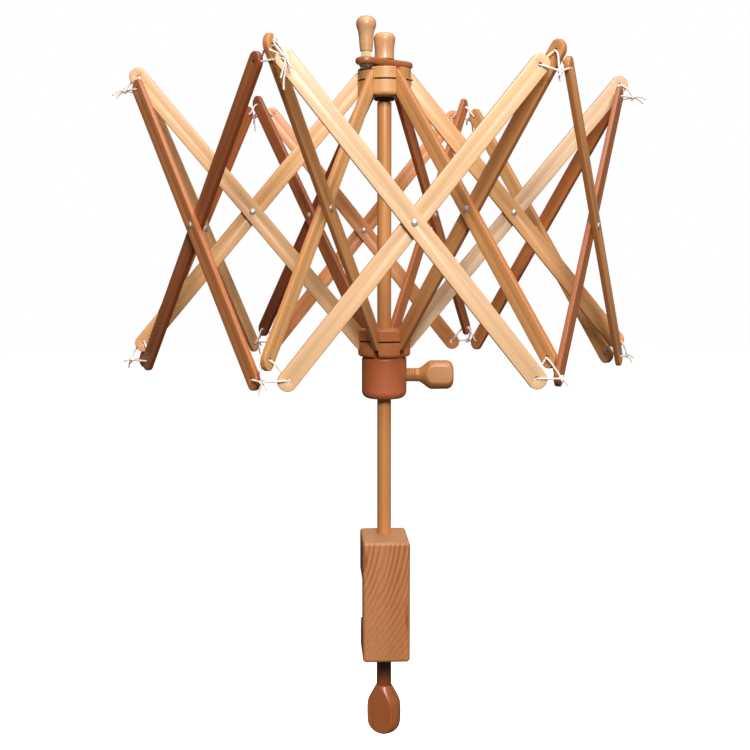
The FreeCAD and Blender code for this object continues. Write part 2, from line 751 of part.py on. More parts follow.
def collar_screw():
    """The wooden thumbscrew: thread, flared neck and flattened paddle."""
    thread = size.thumbscrew_diameter / 2
    full = size.paddle_height / 2
    end = size.paddle_end / 2
    start = size.collar_diameter / 2 + size.thumbscrew_bare - shoe_outer()
    flare = start + size.thumbscrew_flare
    taper = flare + size.paddle_length
    tip = taper + size.paddle_tip
    turning = turned("thumbscrew_turning", (
        (0, 0), (thread, 0), (thread, start), (full, flare), (full, taper), (end, tip), (0, tip),
    ))
    slab = box("thumbscrew_slab", size.paddle_height * 2, size.paddle_thickness,
               size.collar_diameter * 4)
    slab.setExpression("Placement.Base.x", (as_size(0) - size.paddle_height).formula)
    slab.setExpression("Placement.Base.y", (as_size(0) - size.paddle_thickness / 2).formula)
    lift(slab, as_size(0) - size.collar_diameter)
    screw = boolean("Common", "thumbscrew_wood", turning, slab)
    across = FreeCAD.Vector(0, 1, 0)
    turn = FreeCAD.Rotation(heading(0), PADDLE_TURN)
    base = FreeCAD.Vector(shoe_outer().value, 0, thumbscrew_axis())
    screw.Placement = FreeCAD.Placement(
        base, turn * FreeCAD.Rotation(UP * -1, across, heading(0), "ZYX"))
    return node(screw, "collar_screw")


# Slats, rivets and ties

def slat(name, inner_hole):
    """A slat along X with its first end hole at the origin, lying in the XY plane."""
    body = new_body(f"{name}_body")
    sketch = new_sketch(body, "XY_Plane")
    low = as_size(0) - size.slat_end
    high = size.slat_pitch + size.slat_end
    half = size.slat_width / 2
    outline(sketch, ((low, as_size(0) - half), (high, as_size(0) - half), (high, half), (low, half)))
    circle(sketch, 0, 0, inner_hole)
    circle(sketch, size.slat_pitch / 2, 0, size.rivet_diameter + bore_diameter)
    circle(sketch, size.slat_pitch, 0, size.string_hole)
    pad(body, sketch, size.slat_thickness, both_ways=True)

    def corner(edge):
        """The four upright corner edges."""
        return abs(abs(edge.CenterOfMass.y) - half.value) < NEAR and edge.BoundBox.ZLength > NEAR

    soften(body, size.slat_corner, corner)
    return body


def rivet(name):
    """A rivet along Z, centred on the gap between its two slats, with two domed heads."""
    head = size.rivet_head / 2
    shank = size.rivet_diameter / 2
    rise = size.rivet_head_height
    grip = size.slat_thickness * 2 + size.slat_gap + size.face_gap
    dome = bulge(head, rise)
    top = rise * 2 + grip
    return turned(f"{name}_body", (
        (0, 0, dome), (head, rise), (shank, rise), (shank, rise + grip), (head, rise + grip, dome),
        (0, top),
    ))


def rivet_placement(centre, normal):
    """A rivet's placement, from the middle of its gap and its axis."""
    half = (size.slat_thickness.value * 2 + size.slat_gap.value + size.face_gap.value) / 2
    base = centre - normal * (half + size.rivet_head_height.value)
    return FreeCAD.Placement(base, FreeCAD.Rotation(UP, normal))


def rounded_path(points):
    """A wire of straight runs with a tangent arc at every inner corner."""
    edges = []
    start = points[0]
    for before, corner, after in zip(points, points[1:], points[2:]):
        back = (before - corner).normalize()
        on = (after - corner).normalize()
        reach = STRING_BEND_SHARE * min((before - corner).Length, (after - corner).Length)
        turn = math.pi - back.getAngle(on)
        radius = reach / math.tan(turn / 2)
        bisector = (back + on).normalize()
        middle = corner + bisector * (radius / math.cos(turn / 2) - radius)
        edges.append(Part.LineSegment(start, corner + back * reach).toShape())
        edges.append(Part.Arc(corner + back * reach, middle, corner + on * reach).toShape())
        start = corner + on * reach
    edges.append(Part.LineSegment(start, points[-1]).toShape())
    return Part.Wire(edges)


def tie(name, points, knot, out):
    """One tie: a loop of string through the three holes, closed by its knot.
    The knot's seam faces out, clear of where the string enters it."""
    path = rounded_path(points)
    first = path.Edges[0]
    heading_in = first.tangentAt(first.FirstParameter)
    ring = Part.Circle(points[0], heading_in, size.string_diameter.value / 2).toShape()
    tube = path.makePipeShell([Part.Wire([ring])], True, False)
    section = math.pi * (size.string_diameter.value / 2) ** 2
    if abs(tube.Volume / (section * path.Length) - 1) > STRING_VOLUME_SLACK:
        raise ValueError(f"{name}: the string's volume doesn't match its length")
    ball = Part.makeSphere(size.knot_diameter.value / 2)
    ball.Placement = FreeCAD.Placement(knot, FreeCAD.Rotation(heading(0), out))
    thing = doc.addObject("Part::Feature", f"{name}_string")
    thing.Shape = tube.fuse(ball)
    print(f"{name}: {path.Length:.1f} mm of string in the loop")
    return node(thing, name)


def tip_of(arm):
    """The radial and tangential directions of an arm."""
    out = heading(FIRST_ARM + arm * 360 / ARMS)
    return out, UP.cross(out)


def panel_of(arm):
    """The outward and sideways directions of the panel that follows an arm."""
    out = heading(FIRST_ARM + (arm + 0.5) * 360 / ARMS)
    return out, UP.cross(out)


def tie_points(spoke_tip, spoke_side, side_after, side_before, arm, drop):
    """The string's route through a spoke tip and the two outer slats beside it.
    side_after and side_before are the layers, +1 outer or -1 inner, of those slats."""
    out, round_rim = tip_of(arm)
    after_out, after_side = panel_of(arm)
    before_out, before_side = panel_of(arm - 1)
    clear = size.slat_thickness.value / 2 + size.tie_standoff.value
    corner = spoke_tip - UP * drop
    after = corner + after_side * size.tie_side.value
    after += after_out * (size.tie_out.value + side_after * layer)
    before = corner - before_side * size.tie_side.value
    before += before_out * (size.tie_out.value + side_before * layer)
    spoke = spoke_tip + round_rim * (spoke_side * layer)
    front = corner + out * size.knot_out.value
    gap = round_rim * (size.knot_gap.value / 2)
    return (
        front - gap,
        before + before_out * clear, before - before_out * clear,
        spoke - round_rim * clear, spoke + round_rim * clear,
        after - after_out * clear, after + after_out * clear,
        front + gap,
    ), front


def umbrella_arm(arm):
    """One arm: the two spokes, their rivet and the two ties at their tips."""
    out, round_rim = tip_of(arm)
    slope = math.radians(SPOKE_SLOPE)
    number = arm + 1
    falling = out * math.cos(slope) - UP * math.sin(slope)
    rising = out * math.cos(slope) + UP * math.sin(slope)
    top = out * pivot_reach + UP * upper_wire.value
    foot = out * pivot_reach + UP * lower_wire_height
    lower_spoke = slat(f"falling_spoke_{number}", size.wire_hole)
    lower_spoke.Placement = aim(top - round_rim * layer, falling, round_rim)
    node(lower_spoke, f"falling_spoke_{number}")
    upper_spoke = slat(f"rising_spoke_{number}", size.wire_hole)
    upper_spoke.Placement = aim(foot + round_rim * layer, rising, round_rim)
    node(upper_spoke, f"rising_spoke_{number}")
    pin = rivet(f"spoke_rivet_{number}")
    pin.Placement = rivet_placement(top + falling * (size.slat_pitch.value / 2), round_rim)
    node(pin, f"spoke_rivet_{number}")
    top_tip = foot + rising * size.slat_pitch.value
    low_tip = top + falling * size.slat_pitch.value
    route, knot = tie_points(top_tip, 1, 1, -1, arm, size.tie_drop.value)
    tie(f"top_tie_{number}", route, knot, out)
    route, knot = tie_points(low_tip, -1, -1, 1, arm, low_tip.z - panel_foot())
    tie(f"bottom_tie_{number}", route, knot, out)


def panel_foot():
    """Height of the outer slats' lower holes."""
    rise = size.slat_pitch.value * math.sin(math.radians(PANEL_SLOPE))
    return upper_wire.value - size.tie_drop.value - rise


def panel(arm):
    """One panel: the outer slat with its rivet, and the inner slat."""
    number = arm + 1
    out, _ = tip_of(arm)
    panel_out, sideways = panel_of(arm)
    slope = math.radians(PANEL_SLOPE)
    corner = out * (pivot_reach + spoke_run) + panel_out * size.tie_out.value
    corner += sideways * size.tie_side.value
    corner.z = upper_wire.value - size.tie_drop.value
    falling = sideways * math.cos(slope) - UP * math.sin(slope)
    rising = sideways * math.cos(slope) + UP * math.sin(slope)
    crossing = corner + falling * (size.slat_pitch.value / 2)
    foot = FreeCAD.Vector(corner.x, corner.y, panel_foot())
    front = slat(f"outer_slat_{number}_wood", size.string_hole)
    front.Placement = aim(corner + panel_out * layer, falling, panel_out)
    pin = rivet(f"outer_slat_{number}_rivet")
    pin.Placement = rivet_placement(crossing, panel_out)
    pair = doc.addObject("Part::Compound", f"outer_slat_{number}_pair")
    pair.Links = [front, pin]
    node(pair, f"outer_slat_{number}")
    back = slat(f"inner_slat_{number}", size.string_hole)
    back.Placement = aim(foot - panel_out * layer, rising, panel_out)
    node(back, f"inner_slat_{number}")


clamp_block()
clamp_screw()
jaw_pad()
centre_rod()
hub_bush()
top_cap()
hub("upper_hub", size.tenon_diameter + bore_diameter, upper_hub_base.value, -1, True)
hub_wire("upper_hub_wire", upper_wire.value, UPPER_TWIST_TURN)
hub("lower_hub", size.rod_diameter + bore_diameter, lower_hub_height, 1, False)
hub_wire("lower_hub_wire", lower_wire_height, LOWER_TWIST_TURN)
crank_arm()
handle_bolt()
handle_nut()
crank_handle()
collar()
collar_shoe()
collar_screw()
for each_arm in range(ARMS):
    umbrella_arm(each_arm)
    panel(each_arm)
doc.recompute()

for thing in doc.Objects:
    if "Invalid" in thing.State or "Error" in thing.State:
        raise RuntimeError(f"{thing.Name} failed: {thing.State}")
for label, thing in nodes.items():
    if thing.Shape.isNull() or not thing.Shape.isValid() or not thing.Shape.Solids:
        raise RuntimeError(f"{label} has no sound solid")

os.makedirs("parts", exist_ok=True)
for label, thing in nodes.items():
    thing.Shape.exportStep(f"parts/{label}.step")
    box_now = thing.Shape.BoundBox
    print(f"{label}: {thing.Shape.Volume:.1f} mm3, {len(thing.Shape.Solids)} solid(s), "
          f"z {box_now.ZMin:.2f} to {box_now.ZMax:.2f}")
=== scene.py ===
import logging
import math
import random
from collections.abc import Callable, Iterable, Sequence
from dataclasses import dataclass, field
from enum import Enum

import bmesh
import bpy
from mathutils import Matrix, Vector


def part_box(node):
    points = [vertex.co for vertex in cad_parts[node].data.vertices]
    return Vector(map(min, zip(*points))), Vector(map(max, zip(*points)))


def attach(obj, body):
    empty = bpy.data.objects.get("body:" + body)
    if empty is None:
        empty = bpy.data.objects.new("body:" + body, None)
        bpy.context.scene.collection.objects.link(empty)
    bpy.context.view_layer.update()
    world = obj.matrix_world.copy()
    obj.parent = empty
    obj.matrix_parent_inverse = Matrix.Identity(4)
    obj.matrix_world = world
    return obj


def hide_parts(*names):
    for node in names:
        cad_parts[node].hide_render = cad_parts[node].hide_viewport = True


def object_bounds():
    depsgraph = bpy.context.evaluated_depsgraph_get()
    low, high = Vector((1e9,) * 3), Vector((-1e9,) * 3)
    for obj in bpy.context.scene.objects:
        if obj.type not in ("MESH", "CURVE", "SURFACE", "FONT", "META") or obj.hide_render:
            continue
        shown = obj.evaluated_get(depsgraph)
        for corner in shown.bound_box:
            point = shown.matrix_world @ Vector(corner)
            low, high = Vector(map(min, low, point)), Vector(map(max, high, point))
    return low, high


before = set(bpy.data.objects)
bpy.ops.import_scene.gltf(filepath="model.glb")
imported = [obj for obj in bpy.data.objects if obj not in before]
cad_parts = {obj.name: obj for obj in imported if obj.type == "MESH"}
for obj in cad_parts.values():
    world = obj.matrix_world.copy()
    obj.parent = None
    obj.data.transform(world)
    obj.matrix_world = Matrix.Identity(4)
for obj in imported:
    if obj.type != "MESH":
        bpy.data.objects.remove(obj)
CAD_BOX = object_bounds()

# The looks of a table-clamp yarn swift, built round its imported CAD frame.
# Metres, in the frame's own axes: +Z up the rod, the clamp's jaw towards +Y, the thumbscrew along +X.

log = logging.getLogger("yarn_swift")
MM = 0.001
UP = Vector((0, 0, 1))
ARMS = 6

# How far each pattern is drawn out along the grain, and its noise's scale
WANDER_DRAW, WANDER_SCALE, BROAD_SCALE = (0.14, 1, 1), 45, 22
FIBRE_DRAW, FIBRE_SCALE = (0.05, 1, 1), 2400
FLECK_DRAW, FLECK_SCALE = (0.13, 1, 1), 1300
# Place and grey of a growth ring's stops, and the places of one or two middle colours
RING_STOPS = ((0.0, 0.0), (0.3, 0.1), (0.74, 1.0), (1.0, 0.0))
MIDDLE_STOPS = {1: (0.5,), 2: (0.33, 0.66)}
# The second colour is painted shadow: the dark brown of the clamp block's shadow on the clamp screw
WORN_EDGE, BLOCK_SHADOW_BROWN = "#B98A55", "#2A1208"
TOP_SHARE = 0.65

Tree, Node, Socket = bpy.types.NodeTree, bpy.types.Node, bpy.types.NodeSocket
Material, Thing, Vert = bpy.types.Material, bpy.types.Object, bmesh.types.BMVert
Pair, Triple = tuple[float, float], tuple[float, float, float]


# Colours and nodes

def linear(code: str) -> tuple[float, float, float, float]:
    """Turn an sRGB hex colour into Blender's linear one.

    Args:
        code: The colour as "#rrggbb".

    Returns:
        Red, green, blue and an alpha of 1.
    """
    shares = [int(code[place:place + 2], 16) / 255 for place in (1, 3, 5)]
    red, green, blue = (c / 12.92 if c <= 0.04045 else ((c + 0.055) / 1.055) ** 2.4 for c in shares)
    return red, green, blue, 1.0


def add(tree: Tree, kind: str, settings: dict[str, object] | None = None,
        sockets: dict[str | int, object] | None = None) -> Node:
    """Add one node with its settings and links.

    Args:
        tree: The node tree that it goes in.
        kind: The node's type.
        settings: The node's own properties.
        sockets: A value or another node's output for each input, by name or number.

    Returns:
        The node.
    """
    node = tree.nodes.new(kind)
    for name, value in (settings or {}).items():
        setattr(node, name, value)
    for name, value in (sockets or {}).items():
        if isinstance(value, Socket):
            tree.links.new(value, node.inputs[name])
        else:
            node.inputs[name].default_value = value
    return node


def fill_ramp(ramp: Node, stops: Sequence[tuple[float, tuple[float, ...]]]) -> None:
    """Set a colour ramp's stops.

    Args:
        ramp: The colour ramp node.
        stops: Place and linear colour of each stop, from left to right.
    """
    elements = ramp.color_ramp.elements
    while len(elements) < len(stops):
        elements.new(0.5)
    for element, (place, colour) in zip(elements, stops):
        element.position = place
        element.color = colour


def maths(tree: Tree, operation: str, *values: object) -> Socket:
    """The result of one Math node."""
    return add(tree, "ShaderNodeMath", {"operation": operation}, dict(enumerate(values))).outputs[0]


def vectors(tree: Tree, operation: str, *values: object) -> Socket:
    """The vector that one Vector Math node makes."""
    return add(tree, "ShaderNodeVectorMath", {"operation": operation}, dict(enumerate(values))).outputs[0]


def scaled(tree: Tree, vector: object, by: object) -> Socket:
    """A vector times a number."""
    return add(tree, "ShaderNodeVectorMath", {"operation": "SCALE"}, {0: vector, "Scale": by}).outputs[0]


def length(tree: Tree, vector: object) -> Socket:
    """A vector's length."""
    return add(tree, "ShaderNodeVectorMath", {"operation": "LENGTH"}, {0: vector}).outputs["Value"]


def spread(tree: Tree, value: object, start: float = 0.0, end: float = 1.0,
           low: float = 0.0, high: float = 1.0) -> Socket:
    """A value's range from start to end, laid over low to high."""
    return add(tree, "ShaderNodeMapRange", None, {"Value": value, "From Min": start, "From Max": end,
                                                  "To Min": low, "To Max": high}).outputs[0]


def blend(tree: Tree, share: object, below: object, above: object,
          way: str = "MIX") -> Socket:
    """Two colours mixed by a share."""
    return add(tree, "ShaderNodeMix", {"data_type": "RGBA", "blend_type": way},
               {"Factor": share, 6: below, 7: above}).outputs[2]


def noise(tree: Tree, place: object, scale: float, detail: float,
          roughness: float = 0.5) -> Node:
    """A noise texture."""
    return add(tree, "ShaderNodeTexNoise", None,
               {"Vector": place, "Scale": scale, "Detail": detail, "Roughness": roughness})


def mark(tree: Tree, name: str) -> Node:
    """What a mesh attribute says."""
    return add(tree, "ShaderNodeAttribute", {"attribute_name": name})


def here(tree: Tree) -> Socket:
    """The point in the piece's own axes."""
    return add(tree, "ShaderNodeTexCoord").outputs["Object"]


def emboss(tree: Tree, height: object, strength: float, depth: float) -> None:
    """Give the tree's shader a bump."""
    bump = add(tree, "ShaderNodeBump", None, {"Height": height, "Strength": strength, "Distance": depth})
    tree.links.new(bump.outputs[0], tree.nodes["Principled BSDF"].inputs["Normal"])


def blank(name: str) -> tuple[Material, Tree, Node]:
    """A new material, its tree and its shader."""
    material = bpy.data.materials.new(name)
    material.use_nodes = True
    tree = material.node_tree
    return material, tree, tree.nodes["Principled BSDF"]


def metres(lengths_mm: Iterable[float]) -> tuple[float, ...]:
    """Millimetres as metres."""
    return tuple(value * MM for value in lengths_mm)


class Lie(Enum):
    """Which way a piece's grain runs, and what its pattern is read from."""

    BOARD = "along the board attribute's X"
    UPRIGHT = "along Z"
    ACROSS = "along X"


@dataclass(frozen=True)
class Beech:
    """Steamed beech, planed or turned, sanded and oiled: a pinkish straw ground, darker growth lines
    that run with the grain, short dark ray flecks and a low satin gloss."""

    name: str
    slot: str
    pale: str
    middle: tuple[str, ...]
    deep: str
    line: str
    lie: Lie
    ring_mm: float = 3.2
    ring_share: float = 0.35
    pith_mm: Triple = (0.0, 60.0, 35.0)
    sweep: float = 0.05
    warp_mm: float = 3.0
    fleck_share: float = 0.35
    roughness: float = 0.42
    coat: float = 0.18
    mottle_share: float = 0.22
    edge_share: float = 0.0
    # Share of painted shadow: the clamp block's shadow on the clamp screw
    block_shadow_share: float = 0.0
    fade_mm: Pair | None = None
    top_colour: str = ""
    marks_mm: tuple[tuple[Triple, Triple], ...] = ()
    tone: float = 0.5

    def make(self) -> Material:
        """Build the material.

        Returns:
            The material, with one Principled shader.
        """
        material, tree, shader = blank(self.name)
        place = self.place(tree)
        # Slow warp: lines wander by a few millimetres over a hand's length of board
        drawn = vectors(tree, "MULTIPLY", place, WANDER_DRAW)
        wander = noise(tree, drawn, WANDER_SCALE, 2)
        centred = vectors(tree, "SUBTRACT", wander.outputs["Color"], (0.5, 0.5, 0.5))
        warped = vectors(tree, "ADD", place, scaled(tree, centred, self.warp_mm * MM * 2))
        # Growth rings: shells round a pith that lies outside the piece
        away = vectors(tree, "SUBTRACT", warped, metres(self.pith_mm))
        reach = length(tree, vectors(tree, "MULTIPLY", away, (self.sweep, 1, 1)))
        part = maths(tree, "FRACT", maths(tree, "DIVIDE", reach, self.ring_mm * MM))
        ring = add(tree, "ShaderNodeValToRGB", None, {"Fac": part})
        ring.color_ramp.interpolation = "EASE"
        fill_ramp(ring, [(spot, (grey, grey, grey, 1)) for spot, grey in RING_STOPS])
        # Fibres 0.4 mm wide and ray flecks 0.5 mm by 4 mm, drawn out along the grain
        drawn_fine = vectors(tree, "MULTIPLY", place, FIBRE_DRAW)
        fibre = noise(tree, drawn_fine, FIBRE_SCALE, 3, 0.6).outputs["Fac"]
        dash = noise(tree, vectors(tree, "MULTIPLY", place, FLECK_DRAW), FLECK_SCALE, 1)
        fleck = spread(tree, dash.outputs["Fac"], 0.62, 0.74)
        ground = self.ground(tree, noise(tree, drawn, BROAD_SCALE, 2).outputs["Fac"])
        weakest, strongest = self.ring_share * 0.35, self.ring_share * 1.3
        strength = spread(tree, wander.outputs["Fac"], 0.35, 0.65, weakest, strongest)
        if self.fade_mm:
            weak, full = metres(self.fade_mm)
            along = add(tree, "ShaderNodeSeparateXYZ", None, {0: place}).outputs[0]
            strength = maths(tree, "MULTIPLY", strength, spread(tree, along, weak, full, 0.3))
        if self.top_colour:
            normal = add(tree, "ShaderNodeNewGeometry").outputs["Normal"]
            rise = add(tree, "ShaderNodeSeparateXYZ", None, {0: normal}).outputs[2]
            upward = spread(tree, rise, 0.55, 0.98)
            strength = maths(tree, "MULTIPLY", strength, spread(tree, upward, low=1.0, high=0.25))
        line = linear(self.line)
        ringed = blend(tree, maths(tree, "MULTIPLY", ring.outputs["Color"], strength), ground, line)
        flecked = blend(tree, maths(tree, "MULTIPLY", fleck, self.fleck_share), ringed, line)
        colour = scaled(tree, flecked, spread(tree, fibre, 0.25, 0.75, 0.9, 1.08))
        for centre, size in self.marks_mm:
            apart = vectors(tree, "SUBTRACT", here(tree), metres(centre))
            near = spread(tree, length(tree, vectors(tree, "DIVIDE", apart, metres(size))), 1.0, 0.2)
            streaks = spread(tree, fibre, 0.4, 0.6, 0.25)
            colour = blend(tree, maths(tree, "MULTIPLY", near, streaks), colour, line)
        if self.top_colour:
            share = maths(tree, "MULTIPLY", upward, TOP_SHARE)
            colour = blend(tree, share, colour, linear(self.top_colour))
        if self.edge_share:
            worn = maths(tree, "MULTIPLY", mark(tree, "rim").outputs["Fac"], self.edge_share)
            colour = blend(tree, worn, colour, linear(WORN_EDGE), "MULTIPLY")
        # Painted shadow: the clamp block's shadow darkens the screw where its mesh attribute says
        if self.block_shadow_share:
            shadowed = maths(tree, "MULTIPLY", mark(tree, "block_shadow").outputs["Fac"], self.block_shadow_share)
            colour = blend(tree, shadowed, colour, linear(BLOCK_SHADOW_BROWN))
        tree.links.new(colour, shader.inputs["Base Color"])
        gloss = spread(tree, fibre, low=self.roughness - 0.07, high=self.roughness + 0.1)
        tree.links.new(gloss, shader.inputs["Roughness"])
        emboss(tree, fibre, 0.25, 0.12 * MM)
        shader.inputs["Coat Weight"].default_value = self.coat
        shader.inputs["Coat Roughness"].default_value = 0.3
        return material

    def place(self, tree: Tree) -> Socket:
        """The point that the pattern is read at, with the grain along X."""
        if self.lie is Lie.BOARD:
            return mark(tree, "board").outputs["Vector"]
        if self.lie is Lie.ACROSS:
            return here(tree)
        apart = add(tree, "ShaderNodeSeparateXYZ", None, {0: here(tree)})
        return add(tree, "ShaderNodeCombineXYZ", None,
                   {0: apart.outputs[2], 1: apart.outputs[0], 2: apart.outputs[1]}).outputs[0]

    def ground(self, tree: Tree, broad: Socket) -> Socket:
        """The ground colour: from pale to deep with the tone and a slow mottle; on a slat the tone is its
        own colour with painted light and shade mixed in.
        """
        tone = mark(tree, "tone").outputs["Fac"] if self.lie is Lie.BOARD else self.tone
        mottle = spread(tree, broad, low=-self.mottle_share, high=self.mottle_share)
        ramp = add(tree, "ShaderNodeValToRGB", None, {"Fac": maths(tree, "ADD", mottle, tone)})
        places = (0.0, *MIDDLE_STOPS[len(self.middle)], 1.0)
        codes = (self.pale, *self.middle, self.deep)
        fill_ramp(ramp, [(spot, linear(code)) for spot, code in zip(places, codes)])
        return ramp.outputs["Color"]


@dataclass(frozen=True)
class Metal:
    """A small metal part: polished or dulled steel, or brass, with fine turning marks."""

    name: str
    slot: str
    colour: str
    roughness: float
    metallic: float = 0.85
    mark_mm: float = 0.12
    mark_depth_mm: float = 0.004

    def make(self) -> Material:
        """Build the material.

        Returns:
            The material, metallic, with fine marks in its roughness and bump.
        """
        material, tree, shader = blank(self.name)
        shader.inputs["Metallic"].default_value = self.metallic
        spot = here(tree)
        cloud = noise(tree, spot, 260, 3)
        dull = spread(tree, cloud.outputs["Fac"], low=self.roughness * 0.6, high=self.roughness * 1.5)
        tree.links.new(dull, shader.inputs["Roughness"])
        tint = blend(tree, 0.25, linear(self.colour), cloud.outputs["Color"], "MULTIPLY")
        tree.links.new(tint, shader.inputs["Base Color"])
        marks = noise(tree, spot, 1 / (self.mark_mm * MM), 2)
        emboss(tree, marks.outputs["Fac"], 0.3, self.mark_depth_mm * MM)
        return material


@dataclass(frozen=True)
class Fibre:
    """Cotton string or leather: matt, soft at grazing light, with a nap in its bump."""

    name: str
    slot: str
    light: str
    dark: str
    nap_mm: float
    sheen: float
    roughness: float = 0.9

    def make(self) -> Material:
        """Build the material.

        Returns:
            The material, with the nap's noise in colour and bump.
        """
        material, tree, shader = blank(self.name)
        nap = noise(tree, here(tree), 1 / (self.nap_mm * MM), 4)
        ramp = add(tree, "ShaderNodeValToRGB", None, {"Fac": nap.outputs["Fac"]})
        fill_ramp(ramp, [(0.3, linear(self.dark)), (0.65, linear(self.light))])
        tree.links.new(ramp.outputs["Color"], shader.inputs["Base Color"])
        emboss(tree, nap.outputs["Fac"], 0.5, 0.2 * MM)
        shader.inputs["Roughness"].default_value = self.roughness
        shader.inputs["Sheen Weight"].default_value = self.sheen
        return material


Finish = Beech | Metal | Fibre

SLAT = Beech("oiled_beech_slat", "slat_beech", pale="#E3BD95", middle=("#E2AB6E", "#D8894D"),
             deep="#8E4422", line="#A05C28", mottle_share=0.07, lie=Lie.BOARD, ring_mm=2.6,
             ring_share=0.08, pith_mm=(0, 45, 22), sweep=0.03, warp_mm=1.6, fleck_share=0.22,
             edge_share=0.6)
BLOCK = Beech("oiled_beech_block", "block_beech", pale="#DD9E6A", middle=("#CC8650",), deep="#B06634",
              line="#93441B", lie=Lie.UPRIGHT, ring_mm=5.2, ring_share=0.6, pith_mm=(62, -165, -60),
              sweep=1.0, warp_mm=5, fleck_share=0.55, roughness=0.62, coat=0.03, fade_mm=(-80, 20),
              top_colour="#AF8561",
              marks_mm=(((-22, -46, 26), (3, 14, 15)), ((21.5, -46, -38), (2.6, 14, 26))))
HUB = Beech("turned_beech_hub", "turned_beech", pale="#DCA86B", middle=("#D1985B",), deep="#B3763E",
            line="#975A2A", lie=Lie.ACROSS, ring_mm=2.2, ring_share=0.16, pith_mm=(20, 40, -60),
            sweep=0.5, warp_mm=2)
# A darker, redder copy of the hub's beech: painted shade, for the lower hub that sits in the spokes' shadow
SHADED_LOW_HUB = Beech("turned_beech_lower_hub_shaded", "turned_beech", pale="#E9975B", middle=("#D8824B",),
                deep="#B06133", line="#964D23", lie=Lie.ACROSS, ring_mm=2.2, ring_share=0.25,
                pith_mm=(20, 40, -60), sweep=0.5, warp_mm=2)
COLLAR = Beech("turned_beech_collar", "turned_beech", pale="#E48A56", middle=("#D17344",), deep="#B15A31",
               line="#90421D", lie=Lie.ACROSS, ring_mm=2.3, ring_share=0.38, pith_mm=(75, -20, 150),
               sweep=1.0, warp_mm=2.4)
ROD = Beech("turned_beech_rod", "turned_beech", pale="#E0A062", middle=("#D18E51",), deep="#B6713A",
            line="#AE6832", lie=Lie.UPRIGHT, ring_mm=3, ring_share=0.25, pith_mm=(0, 30, 22), sweep=0.04,
            warp_mm=1.6)
GRIP = Beech("turned_beech_grip", "turned_beech", pale="#E0B184", middle=("#D5A172",), deep="#BA814F",
             line="#A86B39", lie=Lie.UPRIGHT, ring_mm=2.4, ring_share=0.25, pith_mm=(0, 26, 30),
             sweep=0.08, warp_mm=1.4, roughness=0.34, coat=0.3)
PADDLE = Beech("turned_beech_paddle", "turned_beech", pale="#D99A5F", middle=("#CE8B4F",), deep="#B06F3A",
               line="#9E5C27", lie=Lie.ACROSS, ring_mm=2.6, ring_share=0.25, pith_mm=(0, 24, 30),
               sweep=0.06, warp_mm=1.4, roughness=0.36, coat=0.3)
# The knob's finish also carries the painted shadow of the clamp block on the screw
KNOB = Beech("turned_beech_knob", "turned_beech", pale="#D68451", middle=("#C16C3B",), deep="#9D502A",
             line="#7D3A18", lie=Lie.UPRIGHT, ring_mm=2.8, ring_share=0.3, pith_mm=(0, 30, 30),
             sweep=0.08, warp_mm=1.6, roughness=0.36, coat=0.3, block_shadow_share=0.92)
CRANK = Beech("sawn_beech_crank", "turned_beech", pale="#B77749", middle=("#A66439",), deep="#874928",
              line="#71391A", lie=Lie.ACROSS, ring_mm=2.6, ring_share=0.25, pith_mm=(0, 40, 500),
              sweep=0.1, warp_mm=2, roughness=0.36, coat=0.3)
RIVET = Metal("polished_steel_rivet", "rivet_steel", "#E2DED8", 0.3, metallic=0.6)
WIRE = Metal("dulled_steel_wire", "wire", "#6E6964", 0.4)
BOLT = Metal("dark_steel_bolt", "bolt_steel", "#A19C98", 0.18, metallic=0.8)
NUT = Metal("bright_brass_nut", "nut_brass", "#FFE9B8", 0.25, metallic=0.2)
BUSH = Metal("blackened_steel_bush", "bush", "#5A4E50", 0.4)
LEATHER = Fibre("plain_leather_shoe", "shoe_leather", "#8A5B3A", "#5E3A22", nap_mm=0.9, sheen=0.05)
COTTON = Fibre("twisted_cotton_string", "cotton_string", "#F6ECE2", "#E0D0C2", nap_mm=0.35, sheen=0.35)

_made: dict[str, Material] = {}


def dressed_in(finish: Finish) -> Material:
    """The finish's material, made the first time that it is asked for."""
    if finish.name not in _made:
        _made[finish.name] = finish.make()
    return _made[finish.name]


# Meshes

def show(name: str, data: bpy.types.ID) -> Thing:
    """Make an object of some data and link it to the scene."""
    thing = bpy.data.objects.new(name, data)
    bpy.context.scene.collection.objects.link(thing)
    return thing


def quarter(steps: int, first: int = 0) -> list[float]:
    """The angles of a quarter turn in equal steps, in radians."""
    return [math.pi / 2 * step / steps for step in range(first, steps + 1)]


def smooth(share: float) -> float:
    """A share from 0 to 1 that starts and ends softly."""
    return 3 * share * share - 2 * share ** 3


